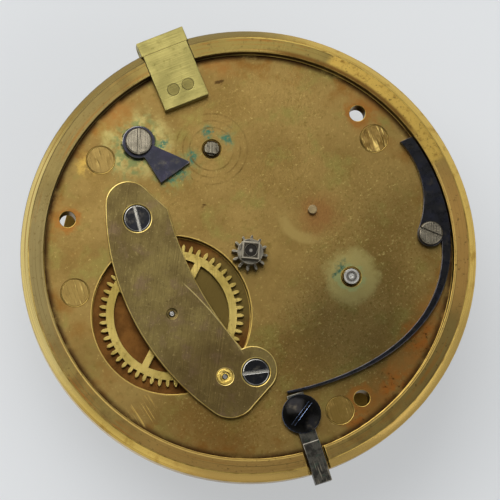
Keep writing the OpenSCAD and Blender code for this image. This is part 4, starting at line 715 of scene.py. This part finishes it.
dark_edge = worn_edge("rubbed_dark_edge", "#8f8a7d", "#5b574f", roughness=0.3)
finished("bolt", 0.05, bolt_steel(), dark_edge)
bolt_blue = blued_steel("black_screw_steel", "#1a1917", "#1c1b1c", "#3b362e", roughness=0.2)
# The screw head's edges are painted pale blue: painted glints.
bolt_screw_painted_glint = worn_edge("painted_blue_glint_edge", "#8496b8", "#222a3c", roughness=0.22)
finished("bolt_screw", 0.03, bolt_blue, bolt_screw_painted_glint)
spring_blue = blued_steel("blued_spring_steel", "#252526", "#282931", "#393530", roughness=0.28)
spring_edge = worn_edge("rubbed_spring_edge", "#545255", "#232328", roughness=0.25)
spring_root = Vector((19.3, -4.5, dial_z)) * MM
spring_tip = Vector((1.2, -14.5, dial_z)) * MM
spring_bend = ("frame", "case_bolt", spring_root, spring_tip)
finished("bolt_spring", 0.05, spring_blue, spring_edge, spring_bend)
finished("bolt_spring_screw", 0.04, polished)

# Studio: a plain pale floor under soft light from the upper left, and the camera of the photograph.
# The floor is matt paint; to the camera, and mirrored in metal, part of it is its own light, so that it
# stays pale and keeps the shadow. The sky is bright at the horizon and dim overhead.
FLOOR_REACH = 1.5
FLOOR_GLOW = 0.5
floor_shape = bmesh.new()
bmesh.ops.create_grid(floor_shape, x_segments=1, y_segments=1, size=FLOOR_REACH)
floor_mesh = bpy.data.meshes.new("floor")
floor_shape.to_mesh(floor_mesh)
floor_shape.free()
floor = bpy.data.objects.new("floor", floor_mesh)
bpy.context.scene.collection.objects.link(floor)
floor_paint = bpy.data.materials.new("matt_pale_floor")
floor_paint.use_nodes = True
paint = floor_paint.node_tree
matt = paint.nodes["Principled BSDF"]
matt.inputs["Base Color"].default_value = linear("#e4e6e8")
matt.inputs["Roughness"].default_value = 0.9
glow = add(paint, "Emission", {"Color": linear("#dcdedf"), "Strength": 1.0}).outputs[0]
ray = add(paint, "LightPath", {}).outputs
seen = add(paint, "Math", {0: ray["Is Camera Ray"], 1: ray["Is Glossy Ray"]}, operation="ADD").outputs[0]
seen_through = {0: seen, 1: ray["Is Transmission Ray"]}
seen = add(paint, "Math", seen_through, operation="ADD", use_clamp=True).outputs[0]
share = add(paint, "Math", {0: seen, 1: FLOOR_GLOW}, operation="MULTIPLY").outputs[0]
surface = add(paint, "MixShader", {0: share, 1: matt.outputs[0], 2: glow}).outputs[0]
paint.links.new(surface, paint.nodes["Material Output"].inputs["Surface"])
floor_mesh.materials.append(floor_paint)

PHOTO_TURN = math.radians(22.4)
CAMERA_SIDE_DEG = 248.3
CAMERA_TILT_DEG = 9.5
CAMERA_DISTANCE = 0.3


def aim(thing, spot, target, top):
    """Places a lamp or camera at spot, looking at target, with top towards the picture's top."""
    back = (spot - target).normalized()
    right = top.cross(back).normalized()
    up = back.cross(right)
    thing.matrix_world = Matrix.Translation(spot) @ Matrix((right, up, back)).transposed().to_4x4()


def from_photo(turn_deg, lift_deg, distance):
    """A place turn_deg anticlockwise from the picture's right and lift_deg above the floor."""
    turn = math.radians(turn_deg) - PHOTO_TURN
    lift = math.radians(lift_deg)
    level = math.cos(lift)
    return Vector((math.cos(turn) * level, math.sin(turn) * level, math.sin(lift))) * distance


photo_top = Vector((math.sin(PHOTO_TURN), math.cos(PHOTO_TURN), 0))
target = Vector((0, 0, (dial_z + 0.8) * MM))
for name, turn, lift, distance, size, watts in [
    ("key_softbox", 121, 51, 0.5, 0.5, 2.3),
    ("right_softbox", -30, 34, 0.5, 0.4, 0.55),
    ("front_softbox", 262, 18, 0.5, 0.35, 0.12),
]:
    lamp = bpy.data.lights.new(name, "AREA")
    lamp.size = size
    lamp.energy = watts
    light = bpy.data.objects.new(name, lamp)
    bpy.context.scene.collection.objects.link(light)
    aim(light, target + from_photo(turn, lift, distance), target, photo_top)

world = bpy.data.worlds.new("studio_world")
world.use_nodes = True
sky = world.node_tree
outwards = add(sky, "TexCoord", {}).outputs["Generated"]
upwards = add(sky, "SeparateXYZ", {0: outwards}).outputs["Z"]
dimming = {"Value": upwards, "From Min": 0.0, "From Max": 0.8, "To Min": 1.0, "To Max": 0.22}
sky.links.new(add(sky, "MapRange", dimming).outputs["Result"], sky.nodes["Background"].inputs["Strength"])
sky.nodes["Background"].inputs["Color"].default_value = linear("#eef2f6")
bpy.context.scene.world = world

camera_data = bpy.data.cameras.new("photo_camera")
camera_data.sensor_width = 36.0
camera_data.lens = 216.6
camera_data.shift_x = 0.001
camera_data.shift_y = 0.0076
camera = bpy.data.objects.new("photo_camera", camera_data)
bpy.context.scene.collection.objects.link(camera)
camera_spot = target + from_photo(CAMERA_SIDE_DEG, 90 - CAMERA_TILT_DEG, CAMERA_DISTANCE)
aim(camera, camera_spot, target, photo_top)
bpy.context.scene.camera = camera
bpy.context.scene.view_settings.view_transform = "Standard"
